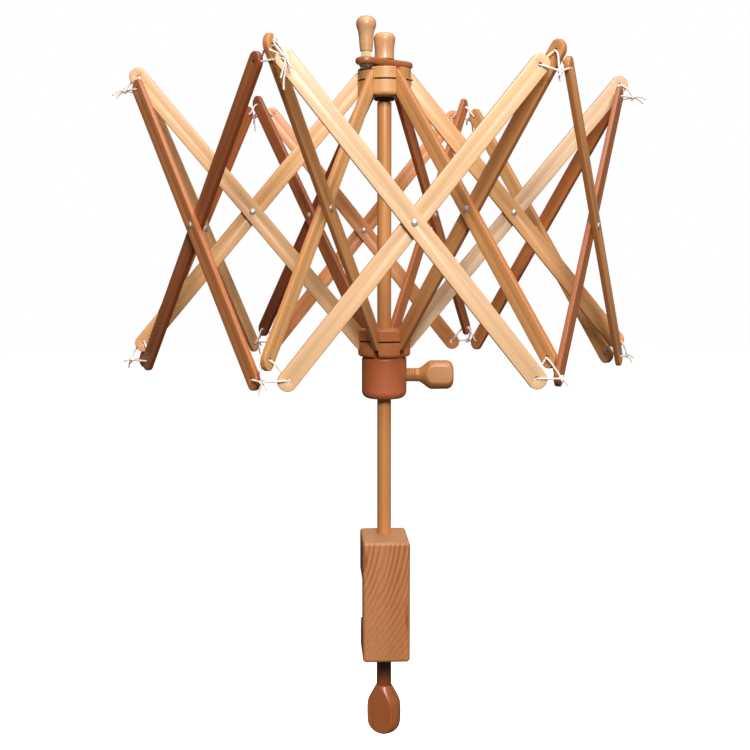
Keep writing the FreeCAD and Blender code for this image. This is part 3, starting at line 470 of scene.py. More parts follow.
class Draft:
    """A mesh while it is being made: rows of points that are joined by bands of faces."""

    def __init__(self) -> None:
        """Start empty."""
        self.mesh = bmesh.new()

    def row(self, points: Iterable[Vector]) -> list[Vert]:
        """Add one row of points."""
        return [self.mesh.verts.new(point) for point in points]

    def band(self, low: list[Vert], high: list[Vert]) -> None:
        """Join two closed rows of equal count by a band of quads."""
        for index in range(len(low)):
            after = (index + 1) % len(low)
            self.mesh.faces.new((low[index], low[after], high[after], high[index]))

    def fan(self, ring: list[Vert]) -> None:
        """Close a row with a fan about its middle."""
        middle = self.mesh.verts.new(sum((v.co for v in ring), Vector()) / len(ring))
        for index in range(len(ring)):
            self.mesh.faces.new((ring[index], ring[(index + 1) % len(ring)], middle))

    def tube(self, rows: Sequence[Iterable[Vector]], capped: bool = True) -> None:
        """Join rows one after another, and close both ends."""
        rings = [self.row(points) for points in rows]
        for low, high in zip(rings, rings[1:]):
            self.band(low, high)
        if capped:
            self.fan(rings[0])
            self.fan(rings[-1])

    def finish(self, name: str, sharp_degrees: float = 38) -> Thing:
        """Merge doubles, turn faces outwards, mark sharp edges and make the object.

        Args:
            name: The object's name.
            sharp_degrees: Edges that turn by more than this stay crisp.

        Returns:
            The object, linked to the scene.
        """
        work = self.mesh
        bmesh.ops.remove_doubles(work, verts=work.verts, dist=1e-7)
        bmesh.ops.recalc_face_normals(work, faces=work.faces)
        for face in work.faces:
            face.smooth = True
        limit = math.radians(sharp_degrees)
        for edge in work.edges:
            edge.smooth = not (len(edge.link_faces) == 2 and edge.calc_face_angle(0) > limit)
        mesh = bpy.data.meshes.new(name)
        work.to_mesh(mesh)
        work.free()
        return show(name, mesh)


def ring_points(radius: float, height: float, count: int) -> list[Vector]:
    """Points of a level circle about Z."""
    return [Vector((radius * math.cos(turn), radius * math.sin(turn), height))
            for turn in (2 * math.pi * index / count for index in range(count))]


def lathe(name: str, profile: Sequence[Pair], count: int = 72,
          reshape: Callable[[Vector], Vector] | None = None) -> Thing:
    """Turn a profile about Z.

    Args:
        name: The object's name.
        profile: Radius and height of each point, from the bottom to the top.
        count: Points round the axis.
        reshape: What is done to each point after it is turned.

    Returns:
        The object.
    """
    draft = Draft()
    change = reshape or (lambda point: point)
    draft.tube([[change(point) for point in ring_points(max(radius, 2e-5), height, count)]
                for radius, height in profile])
    return draft.finish(name)


def through(points: Sequence[Pair], steps: int) -> list[Pair]:
    """Points of a smooth line that runs through the given ones, in order of their first value.

    Args:
        points: What the line runs through.
        steps: How many runs each gap is cut into.

    Returns:
        The points, both ends included.
    """
    padded = [points[0], *points, points[-1]]
    line = []
    for before, start, end, after in zip(padded, padded[1:], padded[2:], padded[3:]):
        for step in range(steps):
            t = step / steps
            line.append(tuple(0.5 * (2 * b + (c - a) * t + (2 * a - 5 * b + 4 * c - d) * t * t
                                     + (3 * b - a - 3 * c + d) * t ** 3)
                              for a, b, c, d in zip(before, start, end, after)))
    return [*line, points[-1]]


def flatten_sides(half: float, turn: float, blend: float = 0.0007) -> Callable[[Vector], Vector]:
    """A reshaping that planes two flats on a turned piece.

    Args:
        half: From the axis to each flat.
        turn: The flats' turn about the axis, in radians.
        blend: How softly the flat runs into the round.

    Returns:
        The function of a point.
    """
    forth, back = Matrix.Rotation(-turn, 3, "Z"), Matrix.Rotation(turn, 3, "Z")

    def change(point: Vector) -> Vector:
        """Plane one point."""
        local = forth @ point
        over = abs(local.y) - half
        if over > blend:
            local.y = math.copysign(half, local.y)
        elif over > -blend:
            local.y = math.copysign(abs(local.y) - (over + blend) ** 2 / (4 * blend), local.y)
        return back @ local

    return change


def aim(base: Vector, along: Vector, normal: Vector) -> Matrix:
    """The placement that turns X along one direction and Z along another."""
    side = normal.cross(along)
    return Matrix.Translation(base) @ Matrix((along, side, normal)).transposed().to_4x4()


def heading(degrees: float) -> Vector:
    """The level direction at this many degrees round the rod."""
    turn = math.radians(degrees)
    return Vector((math.cos(turn), math.sin(turn), 0))


def wear(piece: Thing, finish: Finish, body: str, *nodes: str) -> Thing:
    """Give a piece its finish, its body and the nodes that it stands for.

    Args:
        piece: The piece, in place.
        finish: Its finish.
        body: The body that it rides on.
        nodes: The frame's nodes that it stands for.

    Returns:
        The piece.
    """
    piece.data.materials.clear()
    piece.data.materials.append(dressed_in(finish))
    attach(piece, body)
    if nodes:
        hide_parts(*nodes)
    log.info("%s: %d faces on %s", piece.name, len(piece.data.polygons), body)
    return piece


def keep(node: str, finish: Finish) -> None:
    """Give a node of the frame its finish and leave its shape."""
    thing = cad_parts[node]
    thing.data.materials.clear()
    thing.data.materials.append(dressed_in(finish))
    log.info("%s: kept, in %s", node, finish.name)


# Geometry Nodes

class Recipe:
    """A Geometry Nodes tree with named inputs, which works on a template object."""

    def __init__(self, name: str, inputs: dict[str, tuple[str, object]]) -> None:
        """Start the tree.

        Args:
            name: The tree's name.
            inputs: Socket type and standard value of each named input.
        """
        self.tree = bpy.data.node_groups.new(name, "GeometryNodeTree")
        face = self.tree.interface
        face.new_socket("Geometry", in_out="INPUT", socket_type="NodeSocketGeometry")
        face.new_socket("Geometry", in_out="OUTPUT", socket_type="NodeSocketGeometry")
        for label, (kind, value) in {"Template": ("NodeSocketObject", None), **inputs,
                                     "Finish": ("NodeSocketMaterial", None)}.items():
            socket = face.new_socket(label, in_out="INPUT", socket_type=kind)
            if value is not None:
                socket.default_value = value
        self.start = add(self.tree, "NodeGroupInput")
        self.read = add(self.tree, "GeometryNodeObjectInfo", None, {"Object": self.of("Template")})
        self.shape = self.read.outputs["Geometry"]

    def of(self, label: str) -> Socket:
        """The named input's socket."""
        return self.start.outputs[label]

    def node(self, kind: str, settings: dict[str, object] | None = None,
             sockets: dict[str | int, object] | None = None) -> Node:
        """Add a node to this tree."""
        return add(self.tree, kind, settings, sockets)

    def close(self, geometry: Socket) -> None:
        """End the tree in Realize Instances and Set Material."""
        real = self.node("GeometryNodeRealizeInstances", None, {"Geometry": geometry})
        made = self.node("GeometryNodeSetMaterial", None,
                         {"Geometry": real.outputs[0], "Material": self.of("Finish")})
        self.node("NodeGroupOutput", None, {0: made.outputs[0]})

    def cook(self, name: str, template: Thing, finish: Finish, **values: object) -> Thing:
        """Run the tree once and keep its result as a plain mesh.

        Args:
            name: The new object's name.
            template: What the tree works on.
            finish: The result's finish.
            values: Values of the named inputs, with _ for a space.

        Returns:
            A new object at the origin, with no modifier.
        """
        host = bpy.data.objects.new(name + "_host", bpy.data.meshes.new(name + "_host"))
        modifier = host.modifiers.new("recipe", "NODES")
        modifier.node_group = self.tree
        keys = {item.name: item.identifier for item in self.tree.interface.items_tree
                if item.in_out == "INPUT"}
        wanted = {"Template": template, "Finish": dressed_in(finish),
                  **{label.replace("_", " "): value for label, value in values.items()}}
        for label, value in wanted.items():
            modifier[keys[label]] = value
        bpy.context.scene.collection.objects.link(host)
        graph = bpy.context.evaluated_depsgraph_get()
        mesh = bpy.data.meshes.new_from_object(host.evaluated_get(graph), preserve_all_data_layers=True,
                                               depsgraph=graph)
        mesh.name = name
        host.modifiers.clear()
        bpy.data.objects.remove(host)
        return show(name, mesh)


def laid(recipe: Recipe, geometry: Socket) -> Socket:
    """The geometry at the recipe's base, turned by its turn."""
    return recipe.node("GeometryNodeTransform", None,
                       {"Geometry": geometry, "Translation": recipe.of("Base"),
                        "Rotation": recipe.of("Turn")}).outputs[0]


PLACED = {"Base": ("NodeSocketVector", (0, 0, 0)), "Turn": ("NodeSocketRotation", None)}


def board_recipe() -> Recipe:
    """The tree that lays a slat in place, with its own piece of the wood's grain and its tone: the board's
    own colour with painted light and shade mixed in.
    """
    recipe = Recipe("Slat", {**PLACED, "Seed": ("NodeSocketInt", 0), "Tone": ("NodeSocketFloat", 0.5)})
    spot = recipe.node("GeometryNodeInputPosition").outputs[0]
    far = Vector((0.4, 0.02, 0.012))
    cut_from = recipe.node("FunctionNodeRandomValue", {"data_type": "FLOAT_VECTOR"},
                           {0: -far, 1: far, "ID": 0, "Seed": recipe.of("Seed")})
    shape = recipe.shape
    grain = vectors(recipe.tree, "ADD", spot, cut_from.outputs[0])
    for kind, name, value in (("FLOAT_VECTOR", "board", grain), ("FLOAT", "tone", recipe.of("Tone"))):
        shape = recipe.node("GeometryNodeStoreNamedAttribute", {"data_type": kind},
                            {"Geometry": shape, "Name": name, "Value": value}).outputs[0]
    recipe.close(laid(recipe, shape))
    return recipe


def rivet_recipe() -> Recipe:
    """The tree that sets a domed head on both ends of a rivet's shank."""
    recipe = Recipe("Rivet", {**PLACED, "Grip": ("NodeSocketFloat", 10.3 * MM),
                              "Shank": ("NodeSocketFloat", 2.6 * MM)})
    tree = recipe.tree
    half = maths(tree, "MULTIPLY", recipe.of("Grip"), 0.5)
    high = recipe.node("ShaderNodeCombineXYZ", None, {2: half})
    low = recipe.node("ShaderNodeCombineXYZ", None, {2: maths(tree, "MULTIPLY", half, -1.0)})
    ends = recipe.node("GeometryNodeMeshLine", {"mode": "END_POINTS"},
                       {"Count": 2, "Start Location": low.outputs[0], "Offset": high.outputs[0]})
    which = recipe.node("GeometryNodeInputIndex").outputs[0]
    over = maths(tree, "MULTIPLY_ADD", which, -math.pi, math.pi)
    flip = recipe.node("ShaderNodeCombineXYZ", None, {0: over})
    heads = recipe.node("GeometryNodeInstanceOnPoints", None,
                        {"Points": ends.outputs[0], "Instance": recipe.shape, "Rotation": flip.outputs[0]})
    shank = recipe.node("GeometryNodeMeshCylinder", {"fill_type": "NGON"},
                        {"Vertices": 24, "Radius": maths(tree, "MULTIPLY", recipe.of("Shank"), 0.5),
                         "Depth": recipe.of("Grip")})
    both = recipe.node("GeometryNodeJoinGeometry")
    for part in (shank, heads):
        tree.links.new(part.outputs[0], both.inputs[0])
    recipe.close(laid(recipe, both.outputs[0]))
    return recipe


def strand_recipe() -> Recipe:
    """The tree that lays twisted strands along a line: a lobed section that turns as it goes."""
    recipe = Recipe("Twisted line", {
        "Thickness": ("NodeSocketFloat", 1.8 * MM), "Lay": ("NodeSocketFloat", 5.5 * MM),
        "Strands": ("NodeSocketFloat", 3.0), "Groove": ("NodeSocketFloat", 0.16),
        "Step": ("NodeSocketFloat", 0.55 * MM), "Around": ("NodeSocketInt", 18)})
    tree, turn = recipe.tree, 2 * math.pi
    even = recipe.node("GeometryNodeResampleCurve", {"mode": "LENGTH"},
                       {"Curve": recipe.shape, "Length": recipe.of("Step")})
    along = recipe.node("GeometryNodeSplineParameter").outputs
    tilt = maths(tree, "MULTIPLY", maths(tree, "DIVIDE", along["Length"], recipe.of("Lay")), turn)
    twisted = recipe.node("GeometryNodeSetCurveTilt", None, {"Curve": even.outputs[0], "Tilt": tilt})
    ring = recipe.node("GeometryNodeCurvePrimitiveCircle", None,
                       {"Resolution": recipe.of("Around"),
                        "Radius": maths(tree, "MULTIPLY", recipe.of("Thickness"), 0.5)})
    lobes = maths(tree, "MULTIPLY", maths(tree, "MULTIPLY", along["Factor"], turn), recipe.of("Strands"))
    depth = maths(tree, "MULTIPLY_ADD", maths(tree, "COSINE", lobes), recipe.of("Groove"), 1.0)
    spot = recipe.node("GeometryNodeInputPosition").outputs[0]
    section = recipe.node("GeometryNodeSetPosition", None,
                          {"Geometry": ring.outputs[0], "Position": scaled(tree, spot, depth)})
    solid = recipe.node("GeometryNodeCurveToMesh", None,
                        {"Curve": twisted.outputs[0], "Profile Curve": section.outputs[0],
                         "Fill Caps": True})
    softened = recipe.node("GeometryNodeSetShadeSmooth", None, {"Geometry": solid.outputs[0]})
    recipe.close(softened.outputs[0])
    return recipe


# Sub-assemblies

@dataclass(frozen=True)
class Opening:
    """Where the arms and panels stand, at the stored opening."""

    pitch: float = 355 * MM
    slope: float = math.radians(50)
    panel_slope: float = math.radians(51.2)
    first_arm: float = 3.1
    layer: float = 2.6 * MM
    reach: float = 24.864 * MM
    tie_side: float = 15.4 * MM
    tie_out: float = 6 * MM
    tie_drop: float = 13.4 * MM

    @property
    def wire_top(self) -> float:
        """Height of the upper hub's wire."""
        low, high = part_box("upper_hub_wire")
        return (low.z + high.z) / 2

    @property
    def wire_low(self) -> float:
        """Height of the lower hub's wire."""
        return self.wire_top - self.pitch * math.sin(self.slope)

    @property
    def tip(self) -> float:
        """Rod axis to the spokes' outer holes."""
        return self.reach + self.pitch * math.cos(self.slope)

    @property
    def panel_top(self) -> float:
        """Height of the outer slats' upper holes."""
        return self.wire_top - self.tie_drop

    @property
    def panel_foot(self) -> float:
        """Height of the outer slats' lower holes."""
        return self.panel_top - self.pitch * math.sin(self.panel_slope)

    def arm(self, number: int) -> tuple[Vector, Vector]:
        """Outward and round-the-rim directions of an arm, counted from 1."""
        out = heading(self.first_arm + (number - 1) * 360 / ARMS)
        return out, UP.cross(out)

    def panel(self, number: int) -> tuple[Vector, Vector]:
        """Outward and sideways directions of the panel that follows an arm."""
        out = heading(self.first_arm + (number - 0.5) * 360 / ARMS)
        return out, UP.cross(out)


@dataclass
class Slats:
    """Twenty-four slats with rounded ends, eased edges and drilled holes, and their twelve rivets."""

    opening: Opening
    end: float = 10 * MM
    width: float = 18 * MM
    thickness: float = 5 * MM
    corner: float = 8.6 * MM
    ease: float = 0.8 * MM
    wire_hole: float = 3 * MM
    rivet_hole: float = 2.76 * MM
    string_hole: float = 4 * MM
    head: float = 6.6 * MM
    head_rise: float = 1.6 * MM
    # How deep the colour of boards 1 to 6 is: 0 pale, 1 deep; partly each board's own colour, partly
    # painted light and shade, deeper for slats that sit in shade and paler for lit ones
    tones_and_shade: dict[str, tuple[float, ...]] = field(default_factory=lambda: {
        "falling_spoke": (0.4, 0.8, 0.99, 0.35, 0.33, 0.47),
        "rising_spoke": (0.0, 0.72, 0.88, 0.25, 0.44, 0.5),
        "outer_slat": (0.69, 0.65, 0.89, 0.71, 0.1, 0.52),
        "inner_slat": (0.32, 0.59, 0.25, 0.92, 0.15, 0.82),
    })

    def template(self, name: str, first_hole: float) -> Thing:
        """Make one slat along X, with its first end hole at the origin.

        Args:
            name: The template's name.
            first_hole: Diameter of the hole at the origin.

        Returns:
            The slat, with its rim marked for the finish.
        """
        draft = Draft()
        half = self.thickness / 2
        rows = [(self.ease * (1 - math.sin(turn)), -half + self.ease * (1 - math.cos(turn)))
                for turn in quarter(4)]
        rows += [(inset, -height) for inset, height in reversed(rows)]
        outline = [draft.row(self.outline(inset, height)) for inset, height in rows]
        loops = [outline]
        pitch = self.opening.pitch
        for spot, diameter in ((0, first_hole), (pitch / 2, self.rivet_hole), (pitch, self.string_hole)):
            loops.append([draft.row(Vector((spot, 0, 0)) + point for point in
                                    ring_points(diameter / 2 + inset * 0.5, height, 24))
                          for inset, height in rows])
        for loop in loops:
            for low, high in zip(loop, loop[1:]):
                draft.band(low, high)
        for side in (0, -1):
            edges = [edge for loop in loops for edge in self.edges_of(loop[side])]
            bmesh.ops.triangle_fill(draft.mesh, use_beauty=True, edges=edges, normal=(0, 0, 1))
        thing = draft.finish(name, 60)
        rim = thing.data.attributes.new("rim", "FLOAT", "POINT")
        rim.data.foreach_set("value", [min(1.0, max(0.0, (half - abs(v.co.z)) / self.ease * 2))
                                       for v in thing.data.vertices])
        return thing

    def outline(self, inset: float, height: float) -> list[Vector]:
        """The slat's outline, drawn in by inset, at one height."""
        radius = self.corner - inset
        far, near = self.opening.pitch + self.end - self.corner, self.corner - self.end
        side = self.width / 2 - self.corner
        points = []
        for x, y, turn in ((far, side, 0), (near, side, 90), (near, -side, 180), (far, -side, 270)):
            points += [Vector((x + radius * math.cos(angle), y + radius * math.sin(angle), height))
                       for angle in (math.radians(turn + 9 * step) for step in range(11))]
        return points

    @staticmethod
    def edges_of(ring: list[Vert]) -> list[bmesh.types.BMEdge]:
        """The edges of a closed row."""
        pairs = zip(ring, ring[1:] + ring[:1])
        return [edge for a, b in pairs for edge in a.link_edges if edge.other_vert(a) is b]

    def rivet_head(self) -> Thing:
        """Make a rivet's head: a dome over a thin flange, its underside at the origin."""
        radius = self.head / 2
        flange = 0.25 * MM
        dome = [(radius * 0.97 * math.cos(turn), flange + (self.head_rise - flange) * math.sin(turn))
                for turn in quarter(10)]
        return lathe("rivet_head", [(radius, 0), (radius, flange), *dome], 40)

    def place(self) -> None:
        """Lay every slat and set every rivet."""
        board, rivet = board_recipe(), rivet_recipe()
        spoke = self.template("spoke_template", self.wire_hole)
        outer = self.template("outer_template", self.string_hole)
        head = self.rivet_head()
        at = self.opening
        low, high = math.cos(at.slope), math.sin(at.slope)
        for number in range(1, ARMS + 1):
            out, rim = at.arm(number)
            falling, rising = out * low - UP * high, out * low + UP * high
            top, foot = out * at.reach + UP * at.wire_top, out * at.reach + UP * at.wire_low
            self.lay(board, spoke, f"falling_spoke_{number}", aim(top - rim * at.layer, falling, rim))
            self.lay(board, spoke, f"rising_spoke_{number}", aim(foot + rim * at.layer, rising, rim))
            self.set_rivet(rivet, head, f"spoke_rivet_{number}", f"falling_spoke_{number}",
                           aim(top + falling * at.pitch / 2, falling, rim), (f"spoke_rivet_{number}",))
            face, side = at.panel(number)
            corner = out * at.tip + face * at.tie_out + side * at.tie_side + UP * at.panel_top
            base = Vector((corner.x, corner.y, at.panel_foot))
            down = side * math.cos(at.panel_slope) - UP * math.sin(at.panel_slope)
            up = side * math.cos(at.panel_slope) + UP * math.sin(at.panel_slope)
            self.lay(board, outer, f"outer_slat_{number}", aim(corner + face * at.layer, down, face))
            self.lay(board, outer, f"inner_slat_{number}", aim(base - face * at.layer, up, face))
            self.set_rivet(rivet, head, f"panel_rivet_{number}", f"outer_slat_{number}",
                           aim(corner + down * at.pitch / 2, down, face), ())
        for template in (spoke, outer, head):
            bpy.data.objects.remove(template)

    def lay(self, board: Recipe, template: Thing, name: str, place: Matrix) -> None:
        """Lay one slat in its place."""
        seed = sum(ord(letter) * (index + 3) for index, letter in enumerate(name))
        kind, number = name.rsplit("_", 1)
        made = board.cook(name + "_board", template, SLAT, Base=place.translation[:],
                          Turn=place.to_euler()[:], Seed=seed, Tone=self.tones_and_shade[kind][int(number) - 1])
        wear(made, SLAT, name, name)

    def set_rivet(self, rivet: Recipe, head: Thing, name: str, body: str, place: Matrix,
                  nodes: tuple[str, ...]) -> None:
        """Set one rivet through its two slats."""
        made = rivet.cook(name + "_steel", head, RIVET, Base=place.translation[:], Turn=place.to_euler()[:])
        wear(made, RIVET, body, *nodes)


@dataclass
class Ties:
    """Twelve ties of twisted cotton: each threads a spoke's tip and the outer slats beside it, and ends
    in a knot with two short tails."""

    opening: Opening
    thickness: float = 1.8 * MM
    standoff: float = 1.7 * MM
    slat_thickness: float = 5 * MM
    knot_out: float = 14.4 * MM
    tail_mm: Pair = (7, 19)
    # Where a knot has slid to, outwards, round the rim and up, in millimetres
    slid_mm: dict[str, Triple] = field(default_factory=lambda: {
        "top_tie_5": (-9.7, 20.5, 1.0), "top_tie_6": (-3.0, -5.0, -6.0)})

    def place(self) -> None:
        """Tie all twelve corners."""
        strand = strand_recipe()
        at = self.opening
        for number in range(1, ARMS + 1):
            out, _ = at.arm(number)
            top = out * at.tip + UP * at.wire_top
            foot = out * at.tip + UP * at.wire_low
            self.tie(strand, f"top_tie_{number}", number, top, 1, 1, -1, at.tie_drop)
            self.tie(strand, f"bottom_tie_{number}", number, foot, -1, -1, 1, at.wire_low - at.panel_foot)

    def tie(self, strand: Recipe, name: str, number: int, spoke_tip: Vector, spoke_side: int,
            after_layer: int, before_layer: int, drop: float) -> None:
        """Make one tie: the loop through the three holes, its knot and its tails.

        Args:
            strand: The tree that lays strands along a line.
            name: The tie's node and body.
            number: The arm that it belongs to.
            spoke_tip: Where the spoke's hole meets the arm's plane.
            spoke_side: Which side of that plane the spoke lies on.
            after_layer: The layer of the slat on the panel after the arm.
            before_layer: The layer of the slat on the panel before it.
            drop: From the spoke's hole down to the outer slats' holes.
        """
        at = self.opening
        chance = random.Random(name)
        out, rim = at.arm(number)
        after_out, after_side = at.panel(number)
        before_out, before_side = at.panel(number - 1)
        clear = self.slat_thickness / 2 + self.standoff
        corner = spoke_tip - UP * drop
        after = corner + after_side * at.tie_side + after_out * (at.tie_out + after_layer * at.layer)
        before = corner - before_side * at.tie_side + before_out * (at.tie_out + before_layer * at.layer)
        spoke = spoke_tip + rim * (spoke_side * at.layer)
        slid = [value * MM for value in self.slid_mm.get(name, (0, 0, 0))]
        knot = corner + out * (self.knot_out + slid[0]) + rim * slid[1] + UP * slid[2]
        lines = [[knot - rim * 1.2 * MM, before + before_out * clear, before - before_out * clear,
                  spoke - rim * clear, spoke + rim * clear, after - after_out * clear,
                  after + after_out * clear, knot + rim * 1.2 * MM],
                 self.knot_line(knot, out, rim, chance)]
        # A second strand from the spoke's hole down to the knot, as the string's doubled end
        lines.append([spoke - rim * clear * 0.9, spoke - rim * clear * 1.2 + out * 6 * MM - UP * 1.5 * MM,
                      knot - rim * 1.6 * MM + UP * 1.5 * MM, knot])
        tails = [chance.uniform(*self.tail_mm), chance.uniform(*self.tail_mm)]
        ways = [None, None]
        if name == "top_tie_5":
            # The long ends were wound into a bunch over the spoke's tip
            tails = [27, 18, 12]
            ways = [rim * 0.15 - UP, out * 0.3 - rim * 0.35 - UP * 0.9, out * 0.4 + rim * 0.5 - UP * 0.4]
            lines += [self.bunch_line(knot, spoke_tip + (out * forward + rim * aside + UP * rise) * MM, rim)
                      for forward, aside, rise in ((5, 7.5, 9), (0.5, 7, 7), (8, 8, 5), (3, 9, 2))]
        for length, way in zip(tails, ways):
            lines.append(self.tail_line(knot, out, rim, length * MM, chance, way))
        made = strand.cook(name + "_string", self.curve(name, lines), COTTON, Thickness=self.thickness)
        bpy.data.objects.remove(bpy.data.objects[name + "_line"])
        wear(made, COTTON, name, name)

    def knot_line(self, knot: Vector, out: Vector, rim: Vector, chance: random.Random) -> list[Vector]:
        """The line of a pulled overhand knot."""
        turn = Matrix.Rotation(chance.uniform(0, math.pi), 3, out)
        points = []
        for step in range(25):
            angle = 2 * math.pi * step / 24
            flat = Vector((math.sin(angle) + 2 * math.sin(2 * angle),
                           math.cos(angle) - 2 * math.cos(2 * angle),
                           -math.sin(3 * angle) * 1.2)) * 0.85 * MM
            points.append(knot + turn @ (rim * flat.x + UP * flat.y + out * flat.z))
        return points

    @staticmethod
    def bunch_line(knot: Vector, apex: Vector, rim: Vector) -> list[Vector]:
        """The line of a loop that leaves the knot, turns at the apex and comes back."""
        middle = (knot + apex) / 2
        return [knot, middle + (rim * 2 + UP * 2) * MM, apex, middle - (rim + UP * 2) * MM, knot]

    def tail_line(self, knot: Vector, out: Vector, rim: Vector, length: float, chance: random.Random,
                  way: Vector | None) -> list[Vector]:
        """The line of a free end that leaves the knot, along a given way or its own, and sags."""
        own = rim * chance.uniform(-1, 1) + out * chance.uniform(0.2, 0.9) + UP * chance.uniform(-0.9, 0.5)
        way = (way or own).normalized()
        points = [knot.copy()]
        steps = 5
        for _ in range(steps):
            way = (way + Vector((0, 0, -0.22)) + rim * chance.uniform(-0.25, 0.25)).normalized()
            points.append(points[-1] + way * length / steps)
        return points

    @staticmethod
    def curve(name: str, lines: Sequence[Sequence[Vector]]) -> Thing:
        """One curve object with a smooth NURBS spline for each line."""
        data = bpy.data.curves.new(name + "_line", "CURVE")
        data.dimensions = "3D"
        data.resolution_u = 16
        for points in lines:
            spline = data.splines.new("NURBS")
            spline.points.add(len(points) - 1)
            for spot, point in zip(spline.points, points):
                spot.co = (*point, 1)
            spline.order_u = 3
            spline.use_endpoint_u = True
        return show(name + "_line", data)


@dataclass
class HubWires:
    """The wire ring in each hub's groove, with its ends twisted together outside the rim."""

    opening: Opening
    ring: float = 25 * MM
    upper_turn: float = -23.5
    lower_turn: float = 96.5
    twist_end: float = 31 * MM

    def place(self) -> None:
        """Make both wires."""
        strand = strand_recipe()
        at = self.opening
        for node, body, height, turn in (
                ("upper_hub_wire", "umbrella", at.wire_top, self.upper_turn),
                ("lower_hub_wire", "lower_hub", at.wire_low, self.lower_turn)):
            gap = 4
            ring = [heading(turn + gap / 2 + (360 - gap) * step / 48) * self.ring + UP * height
                    for step in range(49)]
            out = heading(turn)
            rim = UP.cross(out)
            pair = []
            for phase in (0, math.pi):
                start = out * self.ring + UP * height
                pair.append([
                    start + out * (self.twist_end - self.ring) * share
                    + (rim * math.cos(phase + 9 * share) + UP * math.sin(phase + 9 * share)) * 0.62 * MM
                    for share in (index / 16 for index in range(17))])
            line = Ties.curve(node, [ring, *pair])
            made = strand.cook(node + "_steel", line, WIRE, Thickness=1.25 * MM, Groove=0.0, Around=14,
                               Step=0.0007)
            bpy.data.objects.remove(line)
            wear(made, WIRE, body, node)


@dataclass
class Stand:
    """The clamp block, the rod with its bush and cap, and the jaw pad."""

    rod: float = 15 * MM
    tenon: float = 8 * MM

    def place(self) -> None:
        """Dress the block and turn the rod, bush and cap."""
        keep("clamp_block", BLOCK)
        keep("jaw_pad", HUB)
        low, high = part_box("centre_rod")
        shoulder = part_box("hub_bush")[0].z
        radius, ease = self.rod / 2, 1.3 * MM
        profile = [(radius - 0.4 * MM, low.z), (radius, low.z + 0.4 * MM)]
        profile += [(radius, low.z + (shoulder - low.z) * share) for share in (0.1, 0.3, 0.5, 0.7, 0.9)]
        profile += [(radius - ease * (1 - math.cos(turn)), shoulder - ease * (1 - math.sin(turn)))
                    for turn in quarter(5)]
        profile += [(self.tenon / 2, shoulder), (self.tenon / 2, high.z)]
        wear(lathe("centre_rod_wood", profile, 80), ROD, "stand", "centre_rod")
        low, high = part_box("hub_bush")
        bore, neck, flange = self.tenon / 2, 5.3 * MM, (high.x - low.x) / 2
        step, ease = low.z + 1.2 * MM, 0.5 * MM
        profile = [(bore, low.z), (neck, low.z), (neck, step), (flange - ease, step), (flange, step + ease),
                   (flange, high.z - ease), (flange - ease, high.z), (bore, high.z)]
        wear(lathe("hub_bush_steel", profile, 64), BUSH, "stand", "hub_bush")
        self.cap()

    def cap(self) -> None:
        """Turn the cap: slim at its foot, swelling to a soft shoulder under its flat crown."""
        low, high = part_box("top_cap")
        foot, widest, crown = 10.4 * MM, 11.4 * MM, 5 * MM
        height = high.z - low.z
        waist = [(foot - 0.5 * MM, low.z), (foot, low.z + 0.5 * MM)]
        waist += [(foot + (widest - foot) * smooth(share) - 0.7 * MM * math.sin(math.pi * share),
                   low.z + 0.5 * MM + (height * 0.77 - 0.5 * MM) * share)
                  for share in (step / 10 for step in range(1, 11))]
        top = low.z + height * 0.77
        dome = [(crown + (widest - crown) * math.cos(turn), top + (high.z - top) * math.sin(turn))
                for turn in quarter(10, 1)]
        wear(lathe("top_cap_wood", [*waist, *dome], 72), GRIP, "stand", "top_cap")


